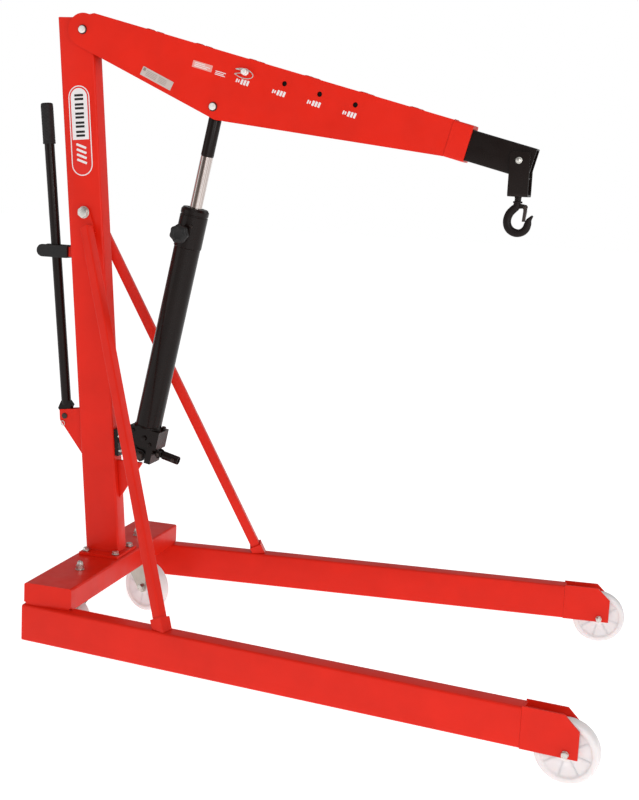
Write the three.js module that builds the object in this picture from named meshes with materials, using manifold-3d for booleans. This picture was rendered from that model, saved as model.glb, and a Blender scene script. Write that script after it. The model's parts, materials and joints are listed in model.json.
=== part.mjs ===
// Workshop engine hoist crane: splayed leg base on four wheels, leaning mast with two side braces,
// a fabricated boom raised by a hydraulic ram, a telescopic extension and a swivelling safety hook.
// Millimetres, +X towards the hook, +Y to the crane's left, +Z up.
import * as THREE from 'three';
import { mergeVertices } from 'three/addons/utils/BufferGeometryUtils.js';
import Module from 'manifold-3d';

const wasm = await Module();
wasm.setup();

// ---------------------------------------------------------------- driving dimensions
const GAP = 0.3;                 // clearance kept between touching pieces
const ORIGIN_X = 685.56;         // rear end of the legs to the middle of the overall length

const WHEEL = { radius: 76, width: 36, bore: 6.4, hub: 19, rimInner: 61 };

const LEG = { height: 100, width: 50, wall: 4, length: 1365, floor: 66, spread: 338, splay: 5.93 };
const LEG_TOP = LEG.floor + LEG.height;
const FORK = { wall: 5, end: 1499.5, top: 169, slantStart: 1462.5, slantEnd: 133.5, floor: 66, axle: 1471 };

const BEAM = { depth: 140, height: 60, halfLength: 356, wall: 4 };
const BEAM_TOP = LEG_TOP + BEAM.height;

const CASTER = { x: 80, y: 190, trail: 45, leftTurn: -18, rightTurn: 180, fork: 4, crownTop: 163 };

const PLATE = { rear: 12, front: 133, halfWidth: 65, thickness: 8, boltRear: 27, boltFront: 119, boltY: 47 };
const PLATE_TOP = BEAM_TOP + GAP + PLATE.thickness;

const MAST = { depth: 104, width: 54, wall: 4, corner: 6, lean: 4.68, foot: 68.5, top: 1741 };
const leanSlope = Math.tan(THREE.MathUtils.degToRad(MAST.lean));
const mastX = (z) => MAST.foot - leanSlope * (z - BEAM_TOP);
const mastHalf = MAST.depth / 2 / Math.cos(THREE.MathUtils.degToRad(MAST.lean));
const mastFront = (z) => mastX(z) + mastHalf + GAP;
const mastRear = (z) => mastX(z) - mastHalf - GAP;

const BRACE = { size: 28, wall: 2.5, boltZ: 1209, tab: 6, tabWidth: 34, facing: 20 };
const SOCKET = { along: 415, height: 30, wall: 4 };

const BOOM = {
  slope: 13.94, pivotX: -26, pivotZ: 1707, cheekRadius: 45, halfWidth: 36, wall: 5, top: 51,
  kneeU: 440, kneeV: -128, end: 1068, endV: -44.5, bolt: 10,
};
const PIN_HOLES = { u: [492, 604, 705, 806], v: 15.5, radius: 7 };
const RAM_PIN = { u: 427, v: -96, radius: 8 };
const SLEEVE = { end: 1121, halfWidth: 38, top: 50.5, bottom: -45 };

const EXTENSION = { width: 60, height: 80, wall: 4, rear: 455, front: 1291, boltU: 1257 };
const HANGER = { halfLength: 26, inner: 31, wall: 6, drop: 91, head: 22, boltRadius: 6 };
const HOOK = { stem: 9, ringZ: 1250, outer: 39, inner: 22, thickness: 18 };

const RAM = {
  footX: 173, footZ: 528, tongue: 13,
  blockRear: -41, blockFront: 50, blockWidth: 35, blockLow: 32, blockTop: 85,
  body: 37, bore: 30, headLow: 612, headTop: 723, head: 39, rod: 17, rodLow: 232, sleeveLow: 868,
};
const SOCKET_TUBE = { w: 50.5, s: 18, radius: 12, bore: 9, length: 62, droop: 3 };
const KNOB = { w: -8, s: 650, radius: 27, near: -71, far: -46, lobes: 7 };

const BRACKET = { flange: [519, 596], flangeWall: 11, halfWidth: 20, lug: [521, 572], lugWall: 6 };
const GUSSET = { low: 392, high: 504, tip: 173, thickness: 10 };

const HANDLE = { pinX: -68, pinZ: 619, lean: 5.39, radius: 14, grip: 17.5, top: 893, gripLow: 779 };
const CLIP = { z: 1094, halfHeight: 18, wall: 6, inner: 15, rear: -166, front: -69 };

// ---------------------------------------------------------------- materials
function paint(color, roughness, metalness) {
  return () => new THREE.MeshStandardMaterial({ color, roughness, metalness });
}
const redPaint = paint(0xd32a1f, 0.35, 0.0);
const blackPaint = paint(0x1c1a1b, 0.4, 0.0);
const zinc = paint(0xb9b9b4, 0.35, 0.9);
const chrome = paint(0xd8d8da, 0.12, 1.0);
const nylon = paint(0xe8e2e0, 0.5, 0.0);
const rubber = paint(0x161616, 0.75, 0.0);

// ---------------------------------------------------------------- solids
function solid(geometry) {
  const bare = geometry.clone();
  bare.deleteAttribute('normal');
  bare.deleteAttribute('uv');
  const merged = mergeVertices(bare, 1e-3);
  const index = merged.index.array;
  const triangles = [];
  for (let i = 0; i < index.length; i += 3) {
    const [a, b, c] = [index[i], index[i + 1], index[i + 2]];
    if (a !== b && b !== c && c !== a) triangles.push(a, b, c);
  }
  return new wasm.Manifold(new wasm.Mesh({
    numProp: 3,
    vertProperties: new Float32Array(merged.attributes.position.array),
    triVerts: new Uint32Array(triangles),
  }));
}

function join(...geometries) {
  return toGeometry(geometries.map(solid).reduce((sum, piece) => sum.add(piece)));
}

function cut(geometry, ...tools) {
  return toGeometry(tools.map(solid).reduce((rest, tool) => rest.subtract(tool), solid(geometry)));
}

function toGeometry(manifold) {
  const mesh = manifold.getMesh();
  const geometry = new THREE.BufferGeometry();
  geometry.setAttribute('position', new THREE.BufferAttribute(mesh.vertProperties, 3));
  geometry.setIndex(new THREE.BufferAttribute(mesh.triVerts, 1));
  geometry.computeVertexNormals();
  return geometry;
}

function box(x0, x1, y0, y1, z0, z1) {
  const geometry = new THREE.BoxGeometry(x1 - x0, y1 - y0, z1 - z0);
  return geometry.translate((x0 + x1) / 2, (y0 + y1) / 2, (z0 + z1) / 2);
}

// a round bar along Y, or a hexagonal one when sides is 6
function bar(radius, y0, y1, x = 0, z = 0, sides = 12) {
  return new THREE.CylinderGeometry(radius, radius, y1 - y0, sides).translate(x, (y0 + y1) / 2, z);
}

function verticalBar(radius, z0, z1, x = 0, y = 0, sides = 12) {
  const geometry = new THREE.CylinderGeometry(radius, radius, z1 - z0, sides).rotateX(Math.PI / 2);
  return geometry.translate(x, y, (z0 + z1) / 2);
}

// a plate whose outline lies in the XZ plane, from y0 to y1
function sidePlate(shape, y0, y1, curveSegments = 6) {
  const settings = { depth: y1 - y0, bevelEnabled: false, curveSegments };
  return new THREE.ExtrudeGeometry(shape, settings).rotateX(Math.PI / 2).translate(0, y1, 0);
}

function polygon(points) {
  return new THREE.Shape(points.map(([x, y]) => new THREE.Vector2(x, y)));
}

function roundedRectangle(target, halfX, halfY, radius) {
  const quarter = Math.PI / 2;
  target.moveTo(halfX, -halfY + radius);
  target.absarc(halfX - radius, halfY - radius, radius, 0, quarter);
  target.absarc(-halfX + radius, halfY - radius, radius, quarter, 2 * quarter);
  target.absarc(-halfX + radius, -halfY + radius, radius, 2 * quarter, 3 * quarter);
  target.absarc(halfX - radius, -halfY + radius, radius, 3 * quarter, 4 * quarter);
  return target;
}

// a rectangular tube along Z with rounded corners, centred on the Z axis
function tubeZ(sizeX, sizeY, wall, corner, length) {
  const shape = roundedRectangle(new THREE.Shape(), sizeX / 2, sizeY / 2, corner);
  const inner = Math.max(corner - wall, 1);
  shape.holes.push(roundedRectangle(new THREE.Path(), sizeX / 2 - wall, sizeY / 2 - wall, inner));
  return new THREE.ExtrudeGeometry(shape, { depth: length, bevelEnabled: false, curveSegments: 3 });
}

// the same tube along X, sizeY wide and sizeZ high
function tubeX(sizeY, sizeZ, wall, corner, x0, x1) {
  return tubeZ(sizeZ, sizeY, wall, corner, x1 - x0).rotateY(Math.PI / 2).translate(x0, 0, 0);
}

// a turned piece about Z from [radius, height] points that start and end on the axis or close on themselves
function turnedZ(points, sides = 20) {
  const profile = points.map(([radius, height]) => new THREE.Vector2(radius, height));
  return new THREE.LatheGeometry(profile, sides).rotateX(Math.PI / 2);
}

function ring(outer, inner, z0, z1, sides = 20) {
  return turnedZ([[inner, z0], [outer, z0], [outer, z1], [inner, z1], [inner, z0]], sides);
}

const crane = new THREE.Group();
const frame = new THREE.Group();
frame.position.x = -ORIGIN_X;
crane.add(frame);

function add(parent, name, geometry, material) {
  const mesh = new THREE.Mesh(toGeometry(solid(geometry)), material());
  mesh.name = name;
  parent.add(mesh);
  return mesh;
}

function nest(parent, x, y, z, turn = {}) {
  const group = new THREE.Group();
  group.position.set(x, y, z);
  const radians = THREE.MathUtils.degToRad;
  group.rotation.set(radians(turn.x ?? 0), radians(turn.y ?? 0), radians(turn.z ?? 0));
  parent.add(group);
  return group;
}

// a hexagon bolt along Y with its head on the -Y side and a nut near its +Y end
function bolt({ radius, flats, head, from, to, nut }) {
  const corner = flats / Math.sqrt(3);
  const pieces = [bar(radius, from - head / 2, to), bar(corner, from - head, from, 0, 0, 6)];
  if (nut) pieces.push(bar(corner, nut[0], nut[1], 0, 0, 6));
  return join(...pieces);
}

// ---------------------------------------------------------------- legs, wheel forks and front wheels
function wheelGeometry() {
  const half = WHEEL.width / 2;
  const hubHalf = half + 1;
  const profile = [
    [WHEEL.bore, -hubHalf], [WHEEL.hub, -hubHalf], [WHEEL.hub + 2, -7], [WHEEL.rimInner - 5, -5],
    [WHEEL.rimInner, -half], [WHEEL.radius - 4, -half], [WHEEL.radius, -half + 5],
    [WHEEL.radius, half - 5], [WHEEL.radius - 4, half], [WHEEL.rimInner, half],
    [WHEEL.rimInner - 5, 5], [WHEEL.hub + 2, 7], [WHEEL.hub, hubHalf], [WHEEL.bore, hubHalf],
    [WHEEL.bore, -hubHalf],
  ];
  return new THREE.LatheGeometry(profile.map(([r, y]) => new THREE.Vector2(r, y)), 24);
}

function forkGeometry() {
  const half = LEG.width / 2;
  const start = LEG.length + GAP;
  const cheek = polygon([
    [start, FORK.floor], [FORK.end, FORK.floor], [FORK.end, FORK.slantEnd],
    [FORK.slantStart, FORK.top], [start, FORK.top],
  ]);
  const web = box(start, start + FORK.wall, -half, half, FORK.floor, LEG_TOP);
  const cheeks = [sidePlate(cheek, -half, -half + FORK.wall), sidePlate(cheek, half - FORK.wall, half)];
  return cut(join(...cheeks, web), bar(WHEEL.bore, -half - 1, half + 1, FORK.axle, WHEEL.radius));
}

function axleGeometry(outward) {
  const side = LEG.width / 2 + GAP;
  const axle = bolt({ radius: 6, flats: 22, head: 8, from: -side, to: side + 13, nut: [side, side + 10] });
  return outward > 0 ? axle.rotateZ(Math.PI) : axle;
}

for (const [side, outward] of [['left', 1], ['right', -1]]) {
  const leg = nest(frame, 0, outward * LEG.spread, 0, { z: outward * LEG.splay });
  const tube = tubeX(LEG.width, LEG.height, LEG.wall, 6, 0, LEG.length);
  tube.translate(0, 0, LEG.floor + LEG.height / 2);
  add(leg, `${side}_leg_tube`, tube, redPaint);
  add(leg, `${side}_wheel_fork`, forkGeometry(), redPaint);
  const hub = nest(leg, FORK.axle, 0, WHEEL.radius);
  add(hub, `${side}_front_wheel`, wheelGeometry(), nylon);
  add(hub, `${side}_front_axle`, axleGeometry(outward), zinc);
}

// ---------------------------------------------------------------- folded cross beam
function beamGeometry() {
  const low = LEG_TOP + GAP;
  const shell = new THREE.Shape();
  shell.moveTo(0, low);
  shell.lineTo(BEAM.wall, low);
  shell.lineTo(BEAM.wall, BEAM_TOP - BEAM.wall);
  shell.lineTo(BEAM.depth - BEAM.wall, BEAM_TOP - BEAM.wall);
  shell.lineTo(BEAM.depth - BEAM.wall, low);
  shell.lineTo(BEAM.depth, low);
  shell.absarc(BEAM.depth - 6, BEAM_TOP - 6, 6, 0, Math.PI / 2);
  shell.absarc(6, BEAM_TOP - 6, 6, Math.PI / 2, Math.PI);
  const pieces = [sidePlate(shell, -BEAM.halfLength, BEAM.halfLength, 4)];
  const reliefs = [];
  for (const outward of [-1, 1]) {
    const inner = outward * (BEAM.halfLength - BEAM.wall);
    const outer = outward * BEAM.halfLength;
    const [y0, y1] = [Math.min(inner, outer), Math.max(inner, outer)];
    pieces.push(box(1, BEAM.depth - 1, y0, y1, low, BEAM_TOP - 2));
    for (const x of [2, BEAM.depth - 2]) reliefs.push(bar(4, y0 - 4, y1 + 4, x, low + 3));
    pieces.push(verticalBar(15, low, BEAM_TOP - 1, CASTER.x, outward * CASTER.y));
    reliefs.push(verticalBar(8.4, low - 1, BEAM_TOP + 1, CASTER.x, outward * CASTER.y));
  }
  for (const x of [PLATE.boltRear, PLATE.boltFront]) {
    for (const y of [-PLATE.boltY, PLATE.boltY]) {
      reliefs.push(verticalBar(6.4, BEAM_TOP - 10, BEAM_TOP + 1, x, y));
    }
  }
  return cut(join(...pieces), ...reliefs);
}
add(frame, 'cross_beam', beamGeometry(), redPaint);

// ---------------------------------------------------------------- swivelling rear casters
function casterForkGeometry() {
  const inner = WHEEL.width / 2 + 3;
  const outer = inner + CASTER.fork;
  const crownLow = WHEEL.radius * 2 + 3;
  const cheek = new THREE.Shape();
  cheek.moveTo(-24, crownLow + 4);
  cheek.lineTo(-24, crownLow - 12);
  cheek.lineTo(CASTER.trail - 15, WHEEL.radius - 5);
  cheek.absarc(CASTER.trail, WHEEL.radius, 15, Math.PI * 1.1, Math.PI * 2);
  cheek.lineTo(CASTER.trail + 15, crownLow - 20);
  cheek.lineTo(CASTER.trail - 8, crownLow + 4);
  const crown = join(
    sidePlate(cheek, -outer, -inner), sidePlate(cheek, inner, outer),
    box(-24, CASTER.trail - 8, -outer, outer, crownLow, crownLow + 4),
    verticalBar(27, crownLow, CASTER.crownTop),
  );
  return cut(
    crown, verticalBar(8.6, crownLow - 1, CASTER.crownTop + 1),
    bar(6.4, -outer - 1, outer + 1, CASTER.trail, WHEEL.radius),
  );
}

function casterStudGeometry() {
  const low = WHEEL.radius * 2 + 0.6;
  const nutLow = BEAM_TOP + GAP;
  return join(
    verticalBar(8, low, BEAM_TOP + 27), verticalBar(11, low, low + 2),
    verticalBar(15, CASTER.crownTop + GAP, LEG_TOP - GAP),
    verticalBar(12, nutLow, nutLow + 14, 0, 0, 6),
  );
}

for (const [side, outward, turn] of [['left', 1, CASTER.leftTurn], ['right', -1, CASTER.rightTurn]]) {
  const stud = nest(frame, CASTER.x, outward * CASTER.y, 0);
  add(stud, `${side}_caster_stud`, casterStudGeometry(), zinc);
  const swivel = nest(frame, CASTER.x, outward * CASTER.y, 0, { z: turn });
  add(swivel, `${side}_caster_fork`, casterForkGeometry(), zinc);
  const hub = nest(swivel, CASTER.trail, 0, WHEEL.radius);
  add(hub, `${side}_caster_wheel`, wheelGeometry(), nylon);
  const face = WHEEL.width / 2 + 3 + CASTER.fork + GAP;
  const axle = bolt({ radius: 6, flats: 19, head: 8, from: -face, to: face + 12, nut: [face, face + 10] });
  add(hub, `${side}_caster_axle`, axle, zinc);
}

// ---------------------------------------------------------------- mast and its foot
const footHoles = [];
for (const x of [PLATE.boltRear, PLATE.boltFront]) {
  for (const y of [-PLATE.boltY, PLATE.boltY]) footHoles.push([x, y]);
}

function footPlateGeometry() {
  const plate = box(
    PLATE.rear, PLATE.front, -PLATE.halfWidth, PLATE.halfWidth, BEAM_TOP + GAP, PLATE_TOP,
  );
  return cut(plate, ...footHoles.map(([x, y]) => verticalBar(6.4, BEAM_TOP - 1, PLATE_TOP + 1, x, y)));
}
add(frame, 'mast_foot_plate', footPlateGeometry(), redPaint);

footHoles.forEach(([x, y], i) => {
  const head = PLATE_TOP + GAP;
  const geometry = join(
    verticalBar(6, BEAM_TOP - 9, head + 1), verticalBar(11, head, head + 2),
    verticalBar(9.8, head + 1, head + 9, 0, 0, 6),
  );
  add(nest(frame, x, y, 0), `mast_foot_bolt_${i + 1}`, geometry, zinc);
});

function mastGeometry() {
  const long = MAST.top + 200;
  const tube = tubeZ(MAST.depth, MAST.width, MAST.wall, MAST.corner, long).translate(0, 0, -100);
  tube.rotateY(THREE.MathUtils.degToRad(-MAST.lean)).translate(MAST.foot, 0, BEAM_TOP);
  const far = 500;
  return cut(
    tube,
    box(-far, far, -far, far, -far, PLATE_TOP + GAP), box(-far, far, -far, far, MAST.top, MAST.top + far),
    bar(BOOM.bolt + 0.5, -far, far, BOOM.pivotX, BOOM.pivotZ, 24),
    bar(10.4, -far, far, mastX(BRACE.boltZ), BRACE.boltZ),
  );
}
add(frame, 'mast_column', mastGeometry(), redPaint);

// ---------------------------------------------------------------- side braces
function braceParts(outward) {
  const top = new THREE.Vector3(mastX(BRACE.boltZ), outward * (MAST.width / 2 + GAP), BRACE.boltZ);
  const splay = THREE.MathUtils.degToRad(LEG.splay);
  const foot = new THREE.Vector3(
    SOCKET.along * Math.cos(splay), outward * (LEG.spread + SOCKET.along * Math.sin(splay)), LEG_TOP,
  );
  const drop = foot.clone().sub(top);
  const inPlane = new THREE.Vector2(drop.x, drop.z).normalize();
  const reach = 44;
  const start = new THREE.Vector3(
    top.x + inPlane.x * reach, outward * (MAST.width / 2 + 20), top.z + inPlane.y * reach,
  );
  const along = foot.clone().sub(start).normalize();
  const turn = THREE.MathUtils.degToRad(BRACE.facing);
  const facing = new THREE.Vector3(Math.cos(turn), outward * Math.sin(turn), 0);
  const side = new THREE.Vector3().crossVectors(along, facing).normalize();
  const front = new THREE.Vector3().crossVectors(side, along);
  const place = new THREE.Matrix4().makeBasis(front, side, along).setPosition(start);
  return { top, foot, inPlane, place, length: foot.distanceTo(start) };
}

function braceGeometry(outward) {
  const { top, foot, inPlane, place, length } = braceParts(outward);
  const tube = tubeZ(BRACE.size, BRACE.size, BRACE.wall, 4, length + 40).applyMatrix4(place);
  const half = BRACE.tabWidth / 2;
  const tilt = Math.atan2(inPlane.y, inPlane.x);
  const outline = new THREE.Shape();
  outline.absarc(0, 0, half, Math.PI / 2, Math.PI * 1.5);
  outline.lineTo(64, -half + 3);
  outline.lineTo(64, half - 3);
  const near = MAST.width / 2 + GAP;
  const [y0, y1] = outward > 0 ? [near, near + BRACE.tab] : [-near - BRACE.tab, -near];
  const tab = sidePlate(outline, y0, y1).rotateY(-tilt).translate(top.x, 0, top.z);
  const far = 300;
  return cut(
    join(tube, tab),
    bar(10.4, -far, far, top.x, top.z),
    box(foot.x - far, foot.x + far, foot.y - far, foot.y + far, LEG_TOP - far, LEG_TOP + GAP),
  );
}

function socketGeometry(outward) {
  const { foot, place, length } = braceParts(outward);
  const hollow = BRACE.size + 2 * GAP;
  const outer = hollow + 2 * SOCKET.wall;
  const far = 300;
  const sleeve = new THREE.BoxGeometry(outer, outer, 100).translate(0, 0, length + 50 - SOCKET.height);
  const passage = new THREE.BoxGeometry(hollow, hollow, far).translate(0, 0, length);
  return cut(
    sleeve.applyMatrix4(place), passage.applyMatrix4(place),
    box(foot.x - far, foot.x + far, foot.y - far, foot.y + far, LEG_TOP - far, LEG_TOP + GAP),
  );
}

for (const [side, outward] of [['left', 1], ['right', -1]]) {
  add(frame, `${side}_brace`, braceGeometry(outward), redPaint);
  add(frame, `${side}_brace_socket`, socketGeometry(outward), redPaint);
}
const tabFace = MAST.width / 2 + GAP + BRACE.tab + GAP;
add(
  nest(frame, mastX(BRACE.boltZ), 0, BRACE.boltZ), 'brace_bolt',
  bolt({ radius: 10, flats: 29, head: 11, from: -tabFace, to: tabFace + 18, nut: [tabFace, tabFace + 14] }),
  zinc,
);

// ---------------------------------------------------------------- ram foot bracket and gusset
function footBracketGeometry() {
  const pin = [RAM.footX, RAM.footZ];
  const [low, high] = BRACKET.flange;
  const flange = sidePlate(polygon([
    [mastFront(low), low], [mastFront(low) + BRACKET.flangeWall, low],
    [mastFront(high) + BRACKET.flangeWall, high], [mastFront(high), high],
  ]), -BRACKET.halfWidth, BRACKET.halfWidth);
  const lug = new THREE.Shape();
  lug.moveTo(mastFront(BRACKET.lug[0]) + 2, BRACKET.lug[0]);
  lug.absarc(pin[0], pin[1], 17, -Math.PI / 2, Math.PI / 2);
  lug.lineTo(mastFront(BRACKET.lug[1]) + 2, BRACKET.lug[1]);
  const inner = RAM.tongue + GAP;
  const outer = inner + BRACKET.lugWall;
  const body = join(flange, sidePlate(lug, inner, outer), sidePlate(lug, -outer, -inner));
  return cut(body, bar(8.4, -60, 60, pin[0], pin[1]));
}
add(frame, 'ram_foot_bracket', footBracketGeometry(), blackPaint);

add(frame, 'mast_gusset', sidePlate(polygon([
  [mastFront(GUSSET.low), GUSSET.low], [GUSSET.tip, GUSSET.high - 5], [GUSSET.tip, GUSSET.high],
  [mastFront(GUSSET.high), GUSSET.high],
]), -GUSSET.thickness / 2, GUSSET.thickness / 2), redPaint);

const lugFace = RAM.tongue + BRACKET.lugWall + 2 * GAP;
add(
  nest(frame, RAM.footX, 0, RAM.footZ), 'ram_foot_pin',
  bolt({ radius: 8, flats: 24, head: 9, from: -lugFace, to: lugFace + 14, nut: [lugFace, lugFace + 11] }),
  zinc,
);

// ---------------------------------------------------------------- tow handle, its bracket and clip
function handleBracketGeometry() {
  const cheek = polygon([
    [mastRear(508), 508], [mastRear(645), 645], [HANDLE.pinX - 18, 636], [HANDLE.pinX - 16, 606],
  ]);
  const web = polygon([
    [mastRear(508), 508], [mastRear(600), 600], [mastRear(600) - 5, 600], [mastRear(520) - 5, 520],
  ]);
  const body = join(sidePlate(cheek, 10.5, 15.5), sidePlate(cheek, -15.5, -10.5), sidePlate(web, -12, 12));
  return cut(body, bar(6.4, -30, 30, HANDLE.pinX, HANDLE.pinZ));
}
add(frame, 'handle_bracket', handleBracketGeometry(), redPaint);
add(
  nest(frame, HANDLE.pinX, 0, HANDLE.pinZ), 'handle_pin',
  join(bar(6, -17, 24), bar(8, -18.5, -15.8)), zinc,
);

const handle = nest(frame, HANDLE.pinX, 0, HANDLE.pinZ, { y: -HANDLE.lean });
function handleTubeGeometry() {
  const foot = new THREE.Shape();
  foot.absarc(0, 0, 15, Math.PI, Math.PI * 2);
  foot.lineTo(17, 22);
  foot.lineTo(22, 30);
  foot.lineTo(12, 44);
  foot.lineTo(-12, 44);
  foot.lineTo(-24, 22);
  foot.lineTo(-15, 8);
  return cut(
    join(sidePlate(foot, -10, 10), verticalBar(HANDLE.radius, 34, HANDLE.top - 6)),
    bar(6.5, -20, 20), verticalBar(HANDLE.radius - 3, 60, HANDLE.top),
  );
}
add(handle, 'tow_handle', handleTubeGeometry(), blackPaint);

function gripGeometry() {
  const inner = HANDLE.radius + GAP;
  return turnedZ([
    [inner, HANDLE.gripLow], [HANDLE.grip - 1, HANDLE.gripLow], [HANDLE.grip, HANDLE.gripLow + 3],
    [HANDLE.grip, HANDLE.top - 4], [HANDLE.grip - 3, HANDLE.top], [0, HANDLE.top],
    [0, HANDLE.top - 6 + GAP], [inner, HANDLE.top - 6 + GAP], [inner, HANDLE.gripLow],
  ]);
}
add(handle, 'handle_grip', gripGeometry(), rubber);

function clipGeometry() {
  const prong = new THREE.Shape();
  prong.moveTo(CLIP.front, CLIP.z - CLIP.halfHeight);
  prong.lineTo(CLIP.front, CLIP.z + CLIP.halfHeight);
  prong.absarc(CLIP.rear + CLIP.halfHeight, CLIP.z, CLIP.halfHeight, Math.PI / 2, Math.PI * 1.5);
  const outer = CLIP.inner + CLIP.wall;
  return join(
    sidePlate(prong, CLIP.inner, outer, 10), sidePlate(prong, -outer, -CLIP.inner, 10),
    box(CLIP.front - 8, CLIP.front, -outer, outer, CLIP.z - CLIP.halfHeight, CLIP.z + CLIP.halfHeight),
  );
}
add(frame, 'handle_clip', clipGeometry(), rubber);

const clipLow = CLIP.z - CLIP.halfHeight + 4;
const clipHigh = CLIP.z + CLIP.halfHeight - 4;
add(frame, 'clip_standoff', sidePlate(polygon([
  [CLIP.front + GAP, clipLow], [mastRear(clipLow), clipLow], [mastRear(clipHigh), clipHigh],
  [CLIP.front + GAP, clipHigh],
]), -12, 12), redPaint);

// ---------------------------------------------------------------- boom
const boom = nest(frame, BOOM.pivotX, 0, BOOM.pivotZ, { y: BOOM.slope });
const boomInner = BOOM.halfWidth - BOOM.wall;

function boomPlateGeometry(y0, y1) {
  const outline = new THREE.Shape();
  const lower = Math.atan2(BOOM.kneeV, BOOM.kneeU);
  const reach = Math.hypot(BOOM.kneeU, BOOM.kneeV);
  const tangent = lower - Math.acos(BOOM.cheekRadius / reach);
  outline.absarc(0, 0, BOOM.cheekRadius, THREE.MathUtils.degToRad(80), tangent + Math.PI * 2, false);
  outline.lineTo(BOOM.kneeU, BOOM.kneeV);
  outline.lineTo(BOOM.end, BOOM.endV);
  outline.lineTo(BOOM.end, BOOM.top);
  outline.lineTo(22, BOOM.top);
  const holes = PIN_HOLES.u.map((u) => bar(PIN_HOLES.radius, y0 - 1, y1 + 1, u, PIN_HOLES.v, 16));
  return cut(
    sidePlate(outline, y0, y1, 14), bar(BOOM.bolt + 0.5, y0 - 1, y1 + 1, 0, 0, 24),
    bar(RAM_PIN.radius + 0.4, y0 - 1, y1 + 1, RAM_PIN.u, RAM_PIN.v), ...holes,
  );
}
add(boom, 'boom_left_plate', boomPlateGeometry(boomInner, BOOM.halfWidth), redPaint);
add(boom, 'boom_right_plate', boomPlateGeometry(-BOOM.halfWidth, -boomInner), redPaint);

const fill = boomInner - GAP;
add(boom, 'boom_top_plate', box(26, BOOM.end, -fill, fill, BOOM.top - BOOM.wall, BOOM.top), redPaint);

// a bottom strip between two stations of the lower edge, welded between the side plates
function lowerStrip(u0, v0, u1, v1) {
  const lift = 5;
  return sidePlate(polygon([[u0, v0], [u1, v1], [u1, v1 + lift], [u0, v0 + lift]]), -fill, fill);
}
const rearSlope = (BOOM.kneeV + BOOM.cheekRadius) / BOOM.kneeU;
const rearEdge = (u) => BOOM.kneeV + rearSlope * (u - BOOM.kneeU) + 2;
const frontSlope = (BOOM.endV - BOOM.kneeV) / (BOOM.end - BOOM.kneeU);
const frontEdge = (u) => BOOM.kneeV + frontSlope * (u - BOOM.kneeU) + 1;
add(boom, 'boom_rear_lower_plate', lowerStrip(110, rearEdge(110), 390, rearEdge(390)), redPaint);
add(boom, 'boom_front_lower_plate', lowerStrip(520, frontEdge(520), 1000, frontEdge(1000)), redPaint);

function sleeveGeometry() {
  const height = SLEEVE.top - SLEEVE.bottom;
  const middle = (SLEEVE.top + SLEEVE.bottom) / 2;
  const start = BOOM.end + GAP;
  const outer = new THREE.Shape();
  roundedRectangle(outer, height / 2, SLEEVE.halfWidth, 7);
  const settings = { depth: SLEEVE.end - start, bevelEnabled: false, curveSegments: 4 };
  const body = new THREE.ExtrudeGeometry(outer, settings);
  body.rotateY(Math.PI / 2).translate(start, 0, middle);
  const clear = 0.8;
  const halfY = EXTENSION.width / 2 + clear;
  const halfV = EXTENSION.height / 2 + clear;
  return cut(body, box(start - 1, SLEEVE.end + 1, -halfY, halfY, -halfV, halfV));
}
add(boom, 'boom_end_sleeve', sleeveGeometry(), redPaint);

add(
  nest(frame, BOOM.pivotX, 0, BOOM.pivotZ), 'boom_pivot_bolt',
  join(
    bar(BOOM.bolt, -45, 54, 0, 0, 24), bar(13, -39.5, -BOOM.halfWidth - GAP, 0, 0, 18),
    bar(17, BOOM.halfWidth + GAP, 50, 0, 0, 6),
  ), zinc,
);

const ramPin = nest(boom, RAM_PIN.u, 0, RAM_PIN.v);
const studEnd = 20;
add(ramPin, 'ram_pin_bolt', join(
  bar(RAM_PIN.radius, -38, -studEnd), bar(12, -39.5, -BOOM.halfWidth - GAP), bar(10, -45, -38),
), zinc);
add(ramPin, 'ram_pin_nut', join(
  bar(RAM_PIN.radius, studEnd, 51), bar(13.5, BOOM.halfWidth + GAP, 48, 0, 0, 6),
), zinc);

// ---------------------------------------------------------------- telescopic extension and lock pin
function extensionGeometry() {
  const tube = tubeX(EXTENSION.width, EXTENSION.height, EXTENSION.wall, 5, EXTENSION.rear, EXTENSION.front);
  const pinU = PIN_HOLES.u[0];
  const half = EXTENSION.width / 2 + 1;
  return cut(
    tube, bar(PIN_HOLES.radius, -half, half, pinU, PIN_HOLES.v, 16),
    box(
      EXTENSION.rear - 1, pinU, -half, half, PIN_HOLES.v - PIN_HOLES.radius, PIN_HOLES.v + PIN_HOLES.radius,
    ),
    bar(HANGER.boltRadius + 0.4, -half, half, EXTENSION.boltU, 0),
  );
}
add(boom, 'extension_tube', extensionGeometry(), blackPaint);

const lockPin = nest(boom, PIN_HOLES.u[0], 0, PIN_HOLES.v);
add(lockPin, 'lock_pin', join(
  bar(6.2, -52, 46), bar(9.5, -44, -BOOM.halfWidth - GAP), bar(8, -56, -49),
), zinc);

// ---------------------------------------------------------------- hook hanger and hook
const slopeRadians = THREE.MathUtils.degToRad(BOOM.slope);
const hangX = BOOM.pivotX + EXTENSION.boltU * Math.cos(slopeRadians);
const hangZ = BOOM.pivotZ - EXTENSION.boltU * Math.sin(slopeRadians);
const hanger = nest(frame, hangX, 0, hangZ);

const hangerOuter = HANGER.inner + HANGER.wall;
add(hanger, 'hanger_bolt', bolt({
  radius: HANGER.boltRadius, flats: 16, head: 6, from: -hangerOuter - GAP, to: hangerOuter + 14,
  nut: [hangerOuter + GAP, hangerOuter + 11],
}), zinc);

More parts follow.
